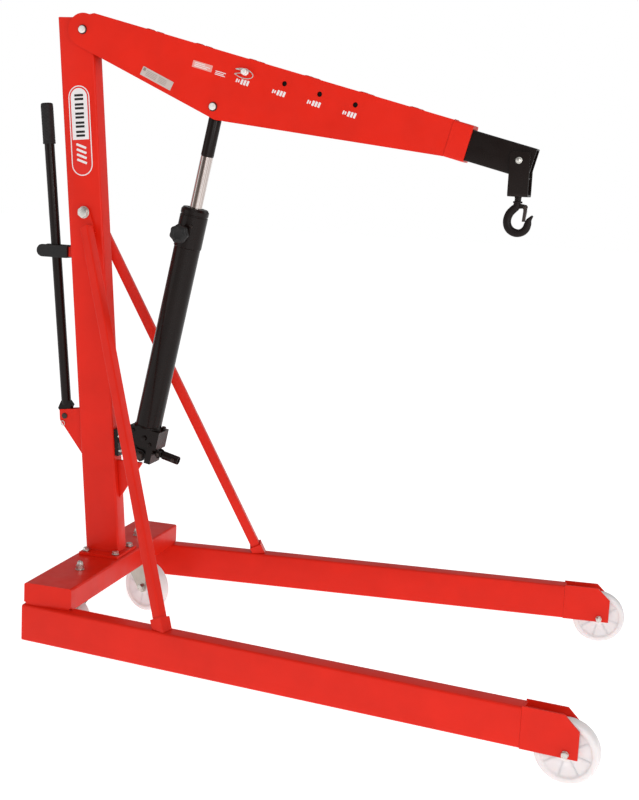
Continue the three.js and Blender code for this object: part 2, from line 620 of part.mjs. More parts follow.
function hangerGeometry() {
  const half = HANGER.halfLength;
  const outer = hangerOuter;
  const cheek = new THREE.Shape();
  cheek.moveTo(half, -HANGER.drop);
  cheek.absarc(half - 8, HANGER.head - 8, 8, 0, Math.PI / 2);
  cheek.absarc(8 - half, HANGER.head - 8, 8, Math.PI / 2, Math.PI);
  cheek.lineTo(-half, -HANGER.drop);
  return cut(
    join(
      sidePlate(cheek, HANGER.inner, outer), sidePlate(cheek, -outer, -HANGER.inner),
      box(-half, half, -outer, outer, -HANGER.drop, -HANGER.drop + HANGER.wall),
    ),
    bar(HANGER.boltRadius + 0.4, -outer - 1, outer + 1),
    verticalBar(HOOK.stem + 0.5, -HANGER.drop - 1, 10 - HANGER.drop),
  );
}
add(hanger, 'hook_hanger', hangerGeometry(), blackPaint);

function hookGeometry() {
  const degrees = THREE.MathUtils.degToRad;
  const outline = new THREE.Shape();
  outline.moveTo(9, 50);
  outline.lineTo(-9, 50);
  outline.lineTo(-10, 42);
  outline.absarc(0, 0, HOOK.outer, degrees(146), degrees(368));
  outline.lineTo(46, 15);
  outline.lineTo(41, 18.5);
  outline.lineTo(31, 8);
  outline.absarc(3, 3, HOOK.inner, degrees(-12), degrees(-252), true);
  outline.lineTo(9, 31);
  outline.lineTo(13, 33);
  outline.absarc(20, 38, 6, degrees(-120), degrees(60));
  outline.lineTo(9, 46);
  const body = sidePlate(outline, -HOOK.thickness / 2, HOOK.thickness / 2, 12);
  const lugSides = [box(10, 40, 5, 20, 29, 46), box(10, 40, -20, -5, 29, 46)];
  const stemTop = hangZ - HANGER.drop + HANGER.wall + 18 - HOOK.ringZ;
  const collarTop = hangZ - HANGER.drop - GAP - HOOK.ringZ;
  return join(
    cut(body, ...lugSides),
    verticalBar(HOOK.stem, 38, stemTop), verticalBar(12, collarTop - 16, collarTop - 11),
  );
}
const hook = nest(frame, hangX, 0, HOOK.ringZ);
add(hook, 'lifting_hook', hookGeometry(), blackPaint);

const nutLow = hangZ - HANGER.drop + HANGER.wall + GAP - HOOK.ringZ;
add(hook, 'hook_nut', cut(
  verticalBar(15, nutLow, nutLow + 14, 0, 0, 6), verticalBar(HOOK.stem + GAP, nutLow - 1, nutLow + 15),
), zinc);

function latchGeometry() {
  const ear = new THREE.Shape();
  ear.absarc(0, 0, 5, 0, Math.PI);
  ear.lineTo(-3, -13);
  ear.lineTo(4, -13);
  const tongue = polygon([[-3.5, -9.5], [-5.5, -37], [1.5, -37], [5, -9.5]]);
  return cut(
    join(sidePlate(ear, 5.4, 7.4), sidePlate(ear, -7.4, -5.4), sidePlate(tongue, -7.4, 7.4)),
    bar(2.2, -9, 9),
  );
}
add(nest(hook, 20, 0, 38), 'hook_latch', latchGeometry(), zinc);

// ---------------------------------------------------------------- hydraulic ram
const pinX = BOOM.pivotX + RAM_PIN.u * Math.cos(slopeRadians) + RAM_PIN.v * Math.sin(slopeRadians);
const pinZ = BOOM.pivotZ - RAM_PIN.u * Math.sin(slopeRadians) + RAM_PIN.v * Math.cos(slopeRadians);
const ramLength = Math.hypot(pinX - RAM.footX, pinZ - RAM.footZ);
const ramLean = THREE.MathUtils.radToDeg(Math.atan2(pinX - RAM.footX, pinZ - RAM.footZ));
const ram = nest(frame, RAM.footX, 0, RAM.footZ, { y: ramLean });

function baseBlockGeometry() {
  const tongue = new THREE.Shape();
  tongue.absarc(0, 0, 17, Math.PI, Math.PI * 2);
  tongue.lineTo(17, RAM.blockLow + 4);
  tongue.lineTo(-17, RAM.blockLow + 4);
  const { blockRear, blockFront, blockWidth, blockLow, blockTop } = RAM;
  const lipFront = SOCKET_TUBE.w - 9 - GAP;
  const block = join(
    box(blockRear, blockFront, -blockWidth, blockWidth, blockLow, blockTop),
    box(23, lipFront, -blockWidth, blockWidth, -12, blockLow + 1),
    sidePlate(tongue, -RAM.tongue, RAM.tongue),
    verticalBar(6, blockTop - 1, blockTop + 10, blockFront - 7, 12),
  );
  const ear = new THREE.Shape();
  ear.moveTo(lipFront - 1, SOCKET_TUBE.s - 11);
  ear.absarc(SOCKET_TUBE.w, SOCKET_TUBE.s, 11, -Math.PI / 2, Math.PI / 2);
  ear.lineTo(lipFront - 1, SOCKET_TUBE.s + 11);
  return cut(
    join(block, sidePlate(ear, 10, 15), sidePlate(ear, -15, -10)),
    bar(8.4, -60, 60), bar(4.4, -20, 20, SOCKET_TUBE.w, SOCKET_TUBE.s),
  );
}
add(ram, 'ram_base_block', baseBlockGeometry(), blackPaint);
add(ram, 'ram_cylinder', ring(RAM.body, RAM.bore, RAM.blockTop + GAP, RAM.headLow - GAP), blackPaint);

function headGeometry() {
  const clear = RAM.rod + 0.6;
  const turned = turnedZ([
    [clear, RAM.headLow], [RAM.head, RAM.headLow], [RAM.head, RAM.headTop - 16],
    [RAM.head - 1.5, RAM.headTop - 14], [RAM.head - 1.5, RAM.headTop - 1.5], [RAM.head - 3, RAM.headTop],
    [clear, RAM.headTop], [clear, RAM.headLow],
  ]);
  const boss = bar(11, KNOB.far + 1, -30, KNOB.w, KNOB.s, 16);
  return join(turned, boss);
}
add(ram, 'ram_gland_head', headGeometry(), blackPaint);

function knobGeometry() {
  const outline = new THREE.Shape();
  const steps = KNOB.lobes * 6;
  for (let i = 0; i < steps; i += 1) {
    const angle = (i / steps) * Math.PI * 2;
    const radius = KNOB.radius - 2.4 + 2.4 * Math.cos(angle * KNOB.lobes);
    const point = [radius * Math.cos(angle), radius * Math.sin(angle)];
    if (i === 0) outline.moveTo(...point);
    else outline.lineTo(...point);
  }
  return sidePlate(outline, KNOB.near, KNOB.far);
}
add(nest(ram, KNOB.w, 0, KNOB.s), 'release_knob', knobGeometry(), rubber);

function pumpSocketGeometry() {
  const { radius, bore, length } = SOCKET_TUBE;
  const tube = verticalBar(radius, 12, length, 0, 0, 16);
  const neck = box(-7, 7, -8, 8, 0, 16);
  const solidBody = join(bar(9, -9, 9), neck, tube);
  return cut(solidBody, verticalBar(bore, 20, length + 1), bar(4.4, -12, 12));
}
const socketTurn = { y: 90 + SOCKET_TUBE.droop };
add(nest(ram, SOCKET_TUBE.w, 0, SOCKET_TUBE.s, socketTurn), 'pump_socket', pumpSocketGeometry(), blackPaint);

add(ram, 'ram_rod', turnedZ([
  [0, RAM.rodLow], [RAM.bore - 0.8, RAM.rodLow], [RAM.bore - 0.8, RAM.rodLow + 24],
  [RAM.rod, RAM.rodLow + 24], [RAM.rod, RAM.sleeveLow - GAP], [0, RAM.sleeveLow - GAP],
]), chrome);

function rodEndGeometry() {
  const radius = 17.8;
  const turned = turnedZ([
    [0, RAM.sleeveLow], [radius, RAM.sleeveLow], [radius, ramLength + 6], [14, ramLength + 14],
    [7, ramLength + 18], [0, ramLength + 18],
  ]);
  return cut(turned, bar(RAM_PIN.radius + 0.6, -30, 30, 0, ramLength));
}
add(ram, 'ram_rod_end', rodEndGeometry(), blackPaint);

export default crane;
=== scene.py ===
# Looks of the workshop engine hoist crane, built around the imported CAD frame.
# Metres, +X towards the hook, +Y to the crane's left, +Z up.
import json
import math

import bmesh
import bpy
from mathutils import Matrix, Vector


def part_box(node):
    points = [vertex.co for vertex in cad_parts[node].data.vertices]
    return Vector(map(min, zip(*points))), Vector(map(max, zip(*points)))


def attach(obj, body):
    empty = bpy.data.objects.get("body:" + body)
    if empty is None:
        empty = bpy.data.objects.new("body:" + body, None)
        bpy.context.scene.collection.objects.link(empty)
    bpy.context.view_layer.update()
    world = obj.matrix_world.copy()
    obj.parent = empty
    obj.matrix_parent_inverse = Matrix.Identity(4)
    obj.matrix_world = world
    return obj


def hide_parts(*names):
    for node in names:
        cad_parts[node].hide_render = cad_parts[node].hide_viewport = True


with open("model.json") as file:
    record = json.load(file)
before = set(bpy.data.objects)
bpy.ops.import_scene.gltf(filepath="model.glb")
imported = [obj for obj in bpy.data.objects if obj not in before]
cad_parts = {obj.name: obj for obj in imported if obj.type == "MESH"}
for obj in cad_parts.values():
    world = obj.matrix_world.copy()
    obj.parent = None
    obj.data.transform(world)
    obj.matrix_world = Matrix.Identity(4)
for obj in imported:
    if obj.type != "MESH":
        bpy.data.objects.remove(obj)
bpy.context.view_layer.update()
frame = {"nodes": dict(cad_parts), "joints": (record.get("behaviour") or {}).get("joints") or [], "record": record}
MM = 0.001

scene = bpy.context.scene
scene.view_settings.view_transform = "Standard"
scene.view_settings.look = "None"

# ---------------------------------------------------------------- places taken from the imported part
JOINTS = {joint["name"]: joint for joint in frame["joints"]}


def joint_place(name):
    return Vector(JOINTS[name]["pos_m"])


def joint_axis(name):
    return Vector(JOINTS[name]["axis"]).normalized()


def box_middle(node):
    low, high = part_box(node)
    return (low + high) / 2


def on_middle(place):
    """The point of the crane's middle plane beside a place."""
    return Vector((place.x, 0, place.z))


def placed(origin, x_axis, y_axis, z_axis):
    """A matrix from a local frame, given by its axes in the row frame, to the row frame."""
    turn = Matrix((x_axis, y_axis, z_axis)).transposed().to_4x4()
    return Matrix.Translation(origin) @ turn


LEFT = Vector((0, 1, 0))


def side_frame(origin, along, upright):
    """A local frame in the XZ plane. Its Z lies along the given direction if upright, else its X does."""
    if upright:
        return placed(origin, LEFT.cross(along), LEFT, along)
    return placed(origin, along, LEFT, along.cross(LEFT))


BOOM = side_frame(joint_place("boom_lift"), joint_axis("extension_slide"), False)
RAM = side_frame(joint_place("ram_tilt"), joint_axis("rod_slide"), True)

MAST_DEPTH = 0.104
MAST_LEAN = math.radians(4.68)
mast_low, mast_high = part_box("mast_column")
MAST_HALF = MAST_DEPTH / 2 / math.cos(MAST_LEAN)
mast_top_x = mast_low.x + MAST_HALF
mast_foot_x = mast_high.x - MAST_HALF
MAST_LINE = Vector((mast_top_x - mast_foot_x, 0, mast_high.z - mast_low.z)).normalized()
MAST = side_frame(Vector((mast_foot_x, 0, mast_low.z)), MAST_LINE, True)

handle_pin = joint_place("handle_tilt")
grip_middle = box_middle("handle_grip")
handle_line = Vector((grip_middle.x - handle_pin.x, 0, grip_middle.z - handle_pin.z)).normalized()
HANDLE = side_frame(handle_pin, handle_line, True)

hook_low, hook_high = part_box("lifting_hook")
hang = joint_place("hanger_swing")
HANGER = Matrix.Translation(hang)
HOOK_OUTER = 0.039
HOOK = Matrix.Translation((hang.x, 0, hook_low.z + HOOK_OUTER))


# ---------------------------------------------------------------- materials
def new_material(name):
    material = bpy.data.materials.new(name)
    material.use_nodes = True
    tree = material.node_tree
    shader = next(node for node in tree.nodes if node.type == "BSDF_PRINCIPLED")
    return material, tree, shader


def noise(tree, scale, detail=3.0, stretch=None):
    """An object-space noise texture's factor output."""
    coordinates = tree.nodes.new("ShaderNodeTexCoord")
    texture = tree.nodes.new("ShaderNodeTexNoise")
    texture.inputs["Scale"].default_value = scale
    texture.inputs["Detail"].default_value = detail
    if stretch:
        mapping = tree.nodes.new("ShaderNodeMapping")
        mapping.inputs["Scale"].default_value = stretch
        tree.links.new(coordinates.outputs["Object"], mapping.inputs["Vector"])
        tree.links.new(mapping.outputs["Vector"], texture.inputs["Vector"])
    else:
        tree.links.new(coordinates.outputs["Object"], texture.inputs["Vector"])
    return texture.outputs["Fac"]


def ramp(tree, source, stops):
    """A colour ramp over source, from (position, value or colour) stops."""
    node = tree.nodes.new("ShaderNodeValToRGB")
    elements = node.color_ramp.elements
    while len(elements) < len(stops):
        elements.new(0.5)
    for element, (position, value) in zip(elements, stops):
        element.position = position
        element.color = (*value, 1) if isinstance(value, tuple) else (value, value, value, 1)
    tree.links.new(source, node.inputs["Fac"])
    return node.outputs["Color"]


def bump(tree, shader, heights):
    """Stacks (height output, strength, distance) bumps on the shader's normal."""
    last = None
    for height, strength, distance in heights:
        node = tree.nodes.new("ShaderNodeBump")
        node.inputs["Strength"].default_value = strength
        node.inputs["Distance"].default_value = distance
        tree.links.new(height, node.inputs["Height"])
        if last:
            tree.links.new(last, node.inputs["Normal"])
        last = node.outputs["Normal"]
    tree.links.new(last, shader.inputs["Normal"])


def set_values(shader, **values):
    for name, value in values.items():
        shader.inputs[name.replace("_", " ")].default_value = value


def scaled(color, factor):
    return tuple(channel * factor for channel in color)


def painted(name, color, roughness, peel, coat, variation=0.08):
    """Sprayed powder coat: orange peel, faint mottling and a light gloss coat."""
    material, tree, shader = new_material(name)
    mottling = ramp(tree, noise(tree, 9.0, 4.0), [
        (0.3, scaled(color, 1 - variation)), (0.7, scaled(color, 1 + variation / 2)),
    ])
    tree.links.new(mottling, shader.inputs["Base Color"])
    tree.links.new(
        ramp(tree, noise(tree, 26.0, 5.0), [(0.25, roughness * 0.8), (0.75, roughness * 1.25)]),
        shader.inputs["Roughness"],
    )
    set_values(shader, Coat_Weight=coat, Coat_Roughness=0.12, Specular_IOR_Level=0.16)
    bump(tree, shader, [
        (noise(tree, 320.0, 1.5), peel, 0.0006), (noise(tree, 45.0, 2.0), peel * 0.5, 0.002),
    ])
    return material


def metal(name, color, roughness, scratch=(1, 1, 1), depth=0.08, variation=0.12):
    """Plated or bare metal: patchy roughness and fine marks stretched along one direction."""
    material, tree, shader = new_material(name)
    patches = ramp(tree, noise(tree, 60.0, 5.0), [
        (0.3, scaled(color, 1 - variation)), (0.75, color),
    ])
    tree.links.new(patches, shader.inputs["Base Color"])
    tree.links.new(
        ramp(tree, noise(tree, 240.0, 4.0, scratch), [(0.3, roughness * 0.7), (0.7, roughness * 1.35)]),
        shader.inputs["Roughness"],
    )
    set_values(shader, Metallic=1.0)
    bump(tree, shader, [(noise(tree, 700.0, 3.0, scratch), depth, 0.0003)])
    return material


def moulded(name, color, roughness, grain, grain_scale=900.0, subsurface=0.0, variation=0.1):
    """Moulded plastic or rubber with a fine grain."""
    material, tree, shader = new_material(name)
    tint = ramp(tree, noise(tree, 30.0, 4.0), [
        (0.3, scaled(color, 1 - variation)), (0.7, scaled(color, 1 + variation / 3)),
    ])
    tree.links.new(tint, shader.inputs["Base Color"])
    tree.links.new(
        ramp(tree, noise(tree, 80.0, 4.0), [(0.3, roughness * 0.85), (0.7, roughness * 1.15)]),
        shader.inputs["Roughness"],
    )
    set_values(shader, Specular_IOR_Level=0.25)
    if subsurface:
        set_values(
            shader, Subsurface_Weight=subsurface, Subsurface_Scale=0.012,
            Subsurface_Radius=(1.0, 0.75, 0.6),
        )
    bump(tree, shader, [(noise(tree, grain_scale, 2.0), grain, 0.0004)])
    return material


RED = painted("red_powder_coat", (0.715, 0.0165, 0.0055), 0.36, 0.08, 0.03)
WELD = painted("red_over_weld", (0.63, 0.0140, 0.0050), 0.42, 0.20, 0.03, 0.14)
BLACK = painted("black_gloss_coat", (0.0075, 0.0036, 0.0028), 0.26, 0.05, 0.02, 0.2)
FORGED = painted("black_forged", (0.0080, 0.0040, 0.0032), 0.42, 0.30, 0.02, 0.25)
ZINC = metal("bright_zinc", (0.62, 0.60, 0.56), 0.30)
PIN_STEEL = metal("ground_pin_steel", (0.93, 0.90, 0.86), 0.46)
set_values(PIN_STEEL.node_tree.nodes["Principled BSDF"], Metallic=0.7)
CASTER_STEEL = metal("pressed_zinc_steel", (0.46, 0.43, 0.38), 0.36, depth=0.05)
DARK_STEEL = metal("blackened_steel", (0.060, 0.048, 0.044), 0.38)
CHROME = metal("hard_chrome", (0.62, 0.56, 0.53), 0.13, (0.2, 0.2, 12), 0.03, 0.05)

# painted reflections: light and dark streaks along the ram, painted into the rod's colour, stand for the
# reflections of a long ground rod
STREAK_WIDTH = 1 / 170
STREAK_LENGTH = 4.0
rod_line = joint_axis("rod_slide")
streak_tree = CHROME.node_tree
streak_place = streak_tree.nodes.new("ShaderNodeMapping")
streak_place.vector_type = "TEXTURE"
streak_place.inputs["Rotation"].default_value = (0, math.atan2(rod_line.x, rod_line.z), 0)
streak_place.inputs["Scale"].default_value = (STREAK_WIDTH, STREAK_WIDTH, STREAK_LENGTH)
streak_noise = streak_tree.nodes.new("ShaderNodeTexNoise")
streak_noise.inputs["Scale"].default_value = 1.0
streak_noise.inputs["Detail"].default_value = 1.0
streak_from = streak_tree.nodes.new("ShaderNodeTexCoord")
streak_tree.links.new(streak_from.outputs["Object"], streak_place.inputs["Vector"])
streak_tree.links.new(streak_place.outputs["Vector"], streak_noise.inputs["Vector"])
# painted reflection bands: dark, warm mid grey, bright and mid again, laid along the rod by the streak noise
painted_reflection_streaks = ramp(streak_tree, streak_noise.outputs["Fac"], [
    (0.36, (0.16, 0.125, 0.11)), (0.46, (0.52, 0.44, 0.41)),
    (0.56, (0.86, 0.82, 0.80)), (0.62, (0.40, 0.33, 0.30)),
])
streak_tree.links.new(painted_reflection_streaks, streak_tree.nodes["Principled BSDF"].inputs["Base Color"])
NYLON = moulded("white_nylon", (0.80, 0.76, 0.76), 0.42, 0.05, 500.0, 0.30, 0.04)
RUBBER = moulded("black_rubber", (0.014, 0.012, 0.012), 0.62, 0.25)
PLASTIC = moulded("black_plastic", (0.013, 0.012, 0.012), 0.40, 0.12)
LABEL_WHITE = moulded("label_white", (0.78, 0.74, 0.74), 0.38, 0.03, 300.0, 0.0, 0.03)
LABEL_RED = moulded("label_red", (0.70, 0.020, 0.012), 0.36, 0.03, 300.0, 0.0, 0.05)
LABEL_INK = moulded("label_ink", (0.016, 0.014, 0.014), 0.45, 0.03, 300.0)
PLATE_INK = moulded("plate_ink", (0.28, 0.22, 0.19), 0.45, 0.03, 300.0)
LABEL_PALE = moulded("label_pale_film", (0.78, 0.33, 0.29), 0.34, 0.03, 300.0, 0.0, 0.06)
PLATE = moulded("rating_plate_foil", (0.56, 0.47, 0.43), 0.38, 0.03, 300.0, 0.0, 0.05)


# ---------------------------------------------------------------- mesh building
def finish_piece(name, bm, material, body, nodes=(), matrix=None, smooth=32, bevel=None):
    """Turns bm into a piece that rides on a body. smooth is the sharpest angle shaded round, in degrees."""
    if matrix is not None:
        bmesh.ops.transform(bm, matrix=matrix, verts=bm.verts)
    bmesh.ops.recalc_face_normals(bm, faces=bm.faces)
    mesh = bpy.data.meshes.new(name)
    bm.to_mesh(mesh)
    bm.free()
    mesh.materials.append(material)
    piece = bpy.data.objects.new(name, mesh)
    scene.collection.objects.link(piece)
    for polygon in mesh.polygons:
        polygon.use_smooth = True
    mesh.set_sharp_from_angle(angle=math.radians(smooth))
    if bevel:
        modifier = piece.modifiers.new("edges", "BEVEL")
        modifier.limit_method = "ANGLE"
        modifier.angle_limit = math.radians(32)
        modifier.width = bevel
        modifier.segments = 2
        modifier.harden_normals = True
    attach(piece, body)
    if nodes:
        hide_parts(*nodes)
    return piece


def merge(target, source):
    """Adds source's faces to target and frees source."""
    mesh = bpy.data.meshes.new("part")
    source.to_mesh(mesh)
    source.free()
    target.from_mesh(mesh)
    bpy.data.meshes.remove(mesh)


def together(*parts):
    whole = bmesh.new()
    for part in parts:
        merge(whole, part)
    return whole


def mm(points):
    """Points or radius and height pairs in millimetres, as metres."""
    return [tuple(value * MM for value in point) for point in points]


def moved(bm, matrix):
    bmesh.ops.transform(bm, matrix=matrix, verts=bm.verts)
    return bm


def shifted(bm, x=0.0, y=0.0, z=0.0):
    return moved(bm, Matrix.Translation((x, y, z)))


def lathe(profile, segments=48, shape=None):
    """A turned solid about Z from (radius, height) points, each bent by shape(angle, radius, height)."""
    bm = bmesh.new()
    rings = []
    for radius, height in profile:
        if radius < 1e-7:
            rings.append([bm.verts.new((0, 0, height))])
            continue
        ring = []
        for i in range(segments):
            angle = 2 * math.pi * i / segments
            r, z = shape(angle, radius, height) if shape else (radius, height)
            ring.append(bm.verts.new((r * math.cos(angle), r * math.sin(angle), z)))
        rings.append(ring)
    for lower, upper in zip(rings, rings[1:]):
        for i in range(segments):
            j = (i + 1) % segments
            corners = []
            low, high = len(lower), len(upper)
            for vert in (lower[i % low], lower[j % low], upper[j % high], upper[i % high]):
                if vert not in corners:
                    corners.append(vert)
            if len(corners) > 2:
                bm.faces.new(corners)
    return bm


def closed_lathe(profile, segments=48, shape=None):
    """A turned ring whose profile closes on itself."""
    bm = lathe([*profile, profile[0]], segments, shape)
    bmesh.ops.remove_doubles(bm, verts=bm.verts, dist=1e-7)
    return bm


def rounded_profile(radius, low, high, edge, bore=0.0):
    """Profile of a disc or ring with rounded outer edges."""
    points = [(bore, low)]
    for step in range(4):
        angle = math.pi / 2 * step / 3
        points.append((radius - edge + edge * math.sin(angle), low + edge - edge * math.cos(angle)))
    for step in range(4):
        angle = math.pi / 2 * step / 3
        points.append((radius - edge + edge * math.cos(angle), high - edge + edge * math.sin(angle)))
    points.append((bore, high))
    return points


def disc(radius, low, high, edge=0.6 * MM, bore=0.0, segments=40):
    """A disc, or a ring where it has a bore, with rounded outer edges."""
    profile = rounded_profile(radius, low, high, edge, bore)
    return closed_lathe(profile, segments) if bore else lathe(profile, segments)


def hexagon(flats, low, high, chamfer_low=True, bore=0.0):
    """A hexagon head or nut with its corners chamfered to a circle at one or both ends."""
    segments = 48
    circle = flats / 2 * 0.97

    def corner(angle):
        local = (angle + math.pi / 6) % (math.pi / 3) - math.pi / 6
        return flats / 2 / math.cos(local)

    def bend(angle, radius, height):
        if radius < flats / 2 * 0.99:
            return radius, height
        reach = corner(angle)
        drop = (reach - circle) * 0.55
        if height > (low + high) / 2:
            return reach, high - drop
        return reach, low + drop if chamfer_low else low

    start = circle if chamfer_low else flats / 2 * 0.985
    profile = [
        (bore, low), (start, low), (flats / 2, low + 1e-5), (flats / 2, high - 1e-5), (circle, high),
        (bore, high),
    ]
    if bore:
        return closed_lathe(profile, segments, bend)
    return lathe(profile, segments, bend)


def thread(radius, low, high):
    """A bolt end cut with thread grooves and a chamfered tip."""
    pitch = 1.25 * MM
    profile = [(0, low)]
    height = low
    while height < high - 2 * pitch:
        profile += [(radius, height), (radius, height + pitch * 0.35), (radius * 0.9, height + pitch * 0.7)]
        height += pitch
    profile += [(radius, height), (radius, high - radius * 0.18), (radius * 0.82, high), (0, high)]
    return lathe(profile, 32)


def bolt(radius, flats, head, grip, washer, nut=None, tail=0.0, round_head=None):
    """A bolt along +Z with its head at z = 0 and its nut at z = grip. round_head is a round head's radius."""
    thin = 1.6 * MM
    parts = [disc(washer, -thin, 0, 0.5 * MM)]
    if round_head:
        parts.append(lathe([
            (0, -thin), (round_head, -thin), (round_head, -thin - head * 0.55),
            (round_head * 0.93, -thin - head * 0.8), (round_head * 0.72, -thin - head * 0.97),
            (0, -thin - head),
        ], 48))
    else:
        turned_head = moved(hexagon(flats, 0, head, False), Matrix.Rotation(math.pi, 4, "X"))
        parts.append(shifted(turned_head, z=-thin))
        parts.append(disc(flats * 0.36, -thin - head - 0.2 * MM, -thin - head + 1 * MM, 0.2 * MM))
    parts.append(disc(radius, -head * 0.4, grip + (2 * MM if nut else 0), 0.4 * MM))
    if nut:
        parts.append(disc(washer, grip, grip + thin, 0.5 * MM))
        parts.append(hexagon(flats, grip + thin, grip + thin + nut))
        parts.append(thread(radius, grip + 1 * MM, grip + thin + nut + tail))
    return together(*parts)


def plate_shape(outline, y0, y1):
    """A plate from an XZ outline between two Y stations, with its face filled as one polygon."""
    bm = bmesh.new()
    loops = [[bm.verts.new((x, y, z)) for x, z in outline] for y in (y0, y1)]
    count = len(outline)
    for i in range(count):
        j = (i + 1) % count
        bm.faces.new((loops[0][i], loops[0][j], loops[1][j], loops[1][i]))
    bm.faces.new(loops[0])
    bm.faces.new(loops[1])
    return bm


def slab(length, height, thickness, radius, steps=6):
    """A flat rounded rectangle centred on the origin in XZ, lying from y = 0 to y = -thickness."""
    outline = []
    for cx, cz, start in (
        (length / 2 - radius, height / 2 - radius, 0), (-length / 2 + radius, height / 2 - radius, 90),
        (-length / 2 + radius, -height / 2 + radius, 180), (length / 2 - radius, -height / 2 + radius, 270),
    ):
        for step in range(steps + 1):
            angle = math.radians(start + 90 * step / steps)
            outline.append((cx + radius * math.cos(angle), cz + radius * math.sin(angle)))
    return plate_shape(outline, -thickness, 0)


def weld_bead(points, radius):
    """A weld bead along a polyline, rippled where each pool froze and tapered at its ends."""
    ripple = 4.5 * MM
    segments = 10
    bm = bmesh.new()
    stations = []
    for start, end in zip(points, points[1:]):
        start, end = Vector(start), Vector(end)
        steps = max(3, int((end - start).length / (ripple / 4)))
        for i in range(steps):
            stations.append((start.lerp(end, i / steps), (end - start).normalized()))
    stations.append((Vector(points[-1]), (Vector(points[-1]) - Vector(points[-2])).normalized()))
    total = len(stations)
    rings = []
    for i, (place, along) in enumerate(stations):
        up = Vector((0, 0, 1)) if abs(along.z) < 0.9 else Vector((1, 0, 0))
        side = along.cross(up).normalized()
        up = side.cross(along)
        swell = radius * (1 + 0.13 * math.sin(i * math.pi / 2))
        swell *= min(1.0, 0.35 + 0.65 * min(i, total - 1 - i) / 5)
        rings.append([
            bm.verts.new(place + side * swell * math.cos(a) + up * swell * math.sin(a))
            for a in (2 * math.pi * k / segments for k in range(segments))
        ])
    for lower, upper in zip(rings, rings[1:]):
        for i in range(segments):
            j = (i + 1) % segments
            bm.faces.new((lower[i], lower[j], upper[j], upper[i]))
    bm.faces.new(rings[0])
    bm.faces.new(rings[-1])
    return bm


def sweep(stations, power, segments):
    """A solid along a path in XZ from (x, z, half width in plane, half width in Y) stations.

    A power of 2 gives round sections, a higher one squarer sections.
    """
    bm = bmesh.new()
    rings = []
    for i, (x, z, across, deep) in enumerate(stations):
        before, after = stations[max(i - 1, 0)], stations[min(i + 1, len(stations) - 1)]
        along = Vector((after[0] - before[0], 0, after[1] - before[1])).normalized()
        side = Vector((0, 1, 0)).cross(along)
        ring = []
        for k in range(segments):
            angle = 2 * math.pi * k / segments
            c, s = math.cos(angle), math.sin(angle)
            c = math.copysign(abs(c) ** (2 / power), c)
            s = math.copysign(abs(s) ** (2 / power), s)
            ring.append(bm.verts.new(Vector((x, 0, z)) + side * across * c + Vector((0, deep * s, 0))))
        rings.append(ring)
    for lower, upper in zip(rings, rings[1:]):
        for i in range(segments):
            j = (i + 1) % segments
            bm.faces.new((lower[i], lower[j], upper[j], upper[i]))
    bm.faces.new(rings[0])
    bm.faces.new(rings[-1])
    return bm


def smooth_path(points):
    """Catmull-Rom points through tuples of any length, six to a span."""
    steps = 6
    padded = [points[0], *points, points[-1]]
    path = []
    for i in range(1, len(padded) - 2):
        for step in range(steps):
            t = step / steps
            path.append(tuple(
                0.5 * (
                    2 * b + (c - a) * t + (2 * a - 5 * b + 4 * c - d) * t * t
                    + (3 * b - a - 3 * c + d) * t ** 3
                )
                for a, b, c, d in zip(padded[i - 1], padded[i], padded[i + 1], padded[i + 2])
            ))
    path.append(points[-1])
    return path


def wire(name, points, radius, material, body, matrix=None, cyclic=False):
    """A round wire through points, as a curve."""
    curve = bpy.data.curves.new(name, "CURVE")
    curve.dimensions = "3D"
    curve.bevel_depth = radius
    curve.bevel_resolution = 4
    curve.use_fill_caps = True
    spline = curve.splines.new("POLY")
    places = smooth_path([tuple(p) for p in points]) if not cyclic else [tuple(p) for p in points]
    spline.points.add(len(places) - 1)
    for point, place in zip(spline.points, places):
        at = Vector(place)
        if matrix is not None:
            at = matrix @ at
        point.co = (*at, 1)
    spline.use_cyclic_u = cyclic
    curve.materials.append(material)
    piece = bpy.data.objects.new(name, curve)
    scene.collection.objects.link(piece)
    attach(piece, body)
    return piece


BODY_OF = {
    node: body for body, nodes in frame["record"]["behaviour"]["bodies"].items() for node in nodes
}


def soften(node, material, width=1.2 * MM):
    """A CAD node's shape with rounded edges, standing for the node."""
    bm = bmesh.new()
    bm.from_mesh(frame["nodes"][node].data)
    bmesh.ops.remove_doubles(bm, verts=bm.verts, dist=1e-5)
    bmesh.ops.dissolve_limit(bm, angle_limit=math.radians(0.6), verts=bm.verts, edges=bm.edges)
    finish_piece(f"{node}_finished", bm, material, BODY_OF[node], (node,), bevel=width)


# ---------------------------------------------------------------- painted steelwork
for node in (
    "left_leg_tube", "right_leg_tube", "cross_beam", "mast_foot_plate", "mast_column",
    "left_brace", "right_brace", "left_brace_socket", "right_brace_socket", "mast_gusset", "handle_bracket",
    "clip_standoff", "boom_left_plate", "boom_right_plate", "boom_top_plate", "boom_rear_lower_plate",
    "boom_front_lower_plate", "boom_end_sleeve", "left_wheel_fork", "right_wheel_fork",
):
    soften(node, RED)
for node in ("ram_foot_bracket", "extension_tube", "ram_base_block"):
    soften(node, BLACK)
soften("handle_clip", PLASTIC, 2.2 * MM)
for node in ("left_caster_fork", "right_caster_fork"):
    soften(node, CASTER_STEEL, 0.9 * MM)


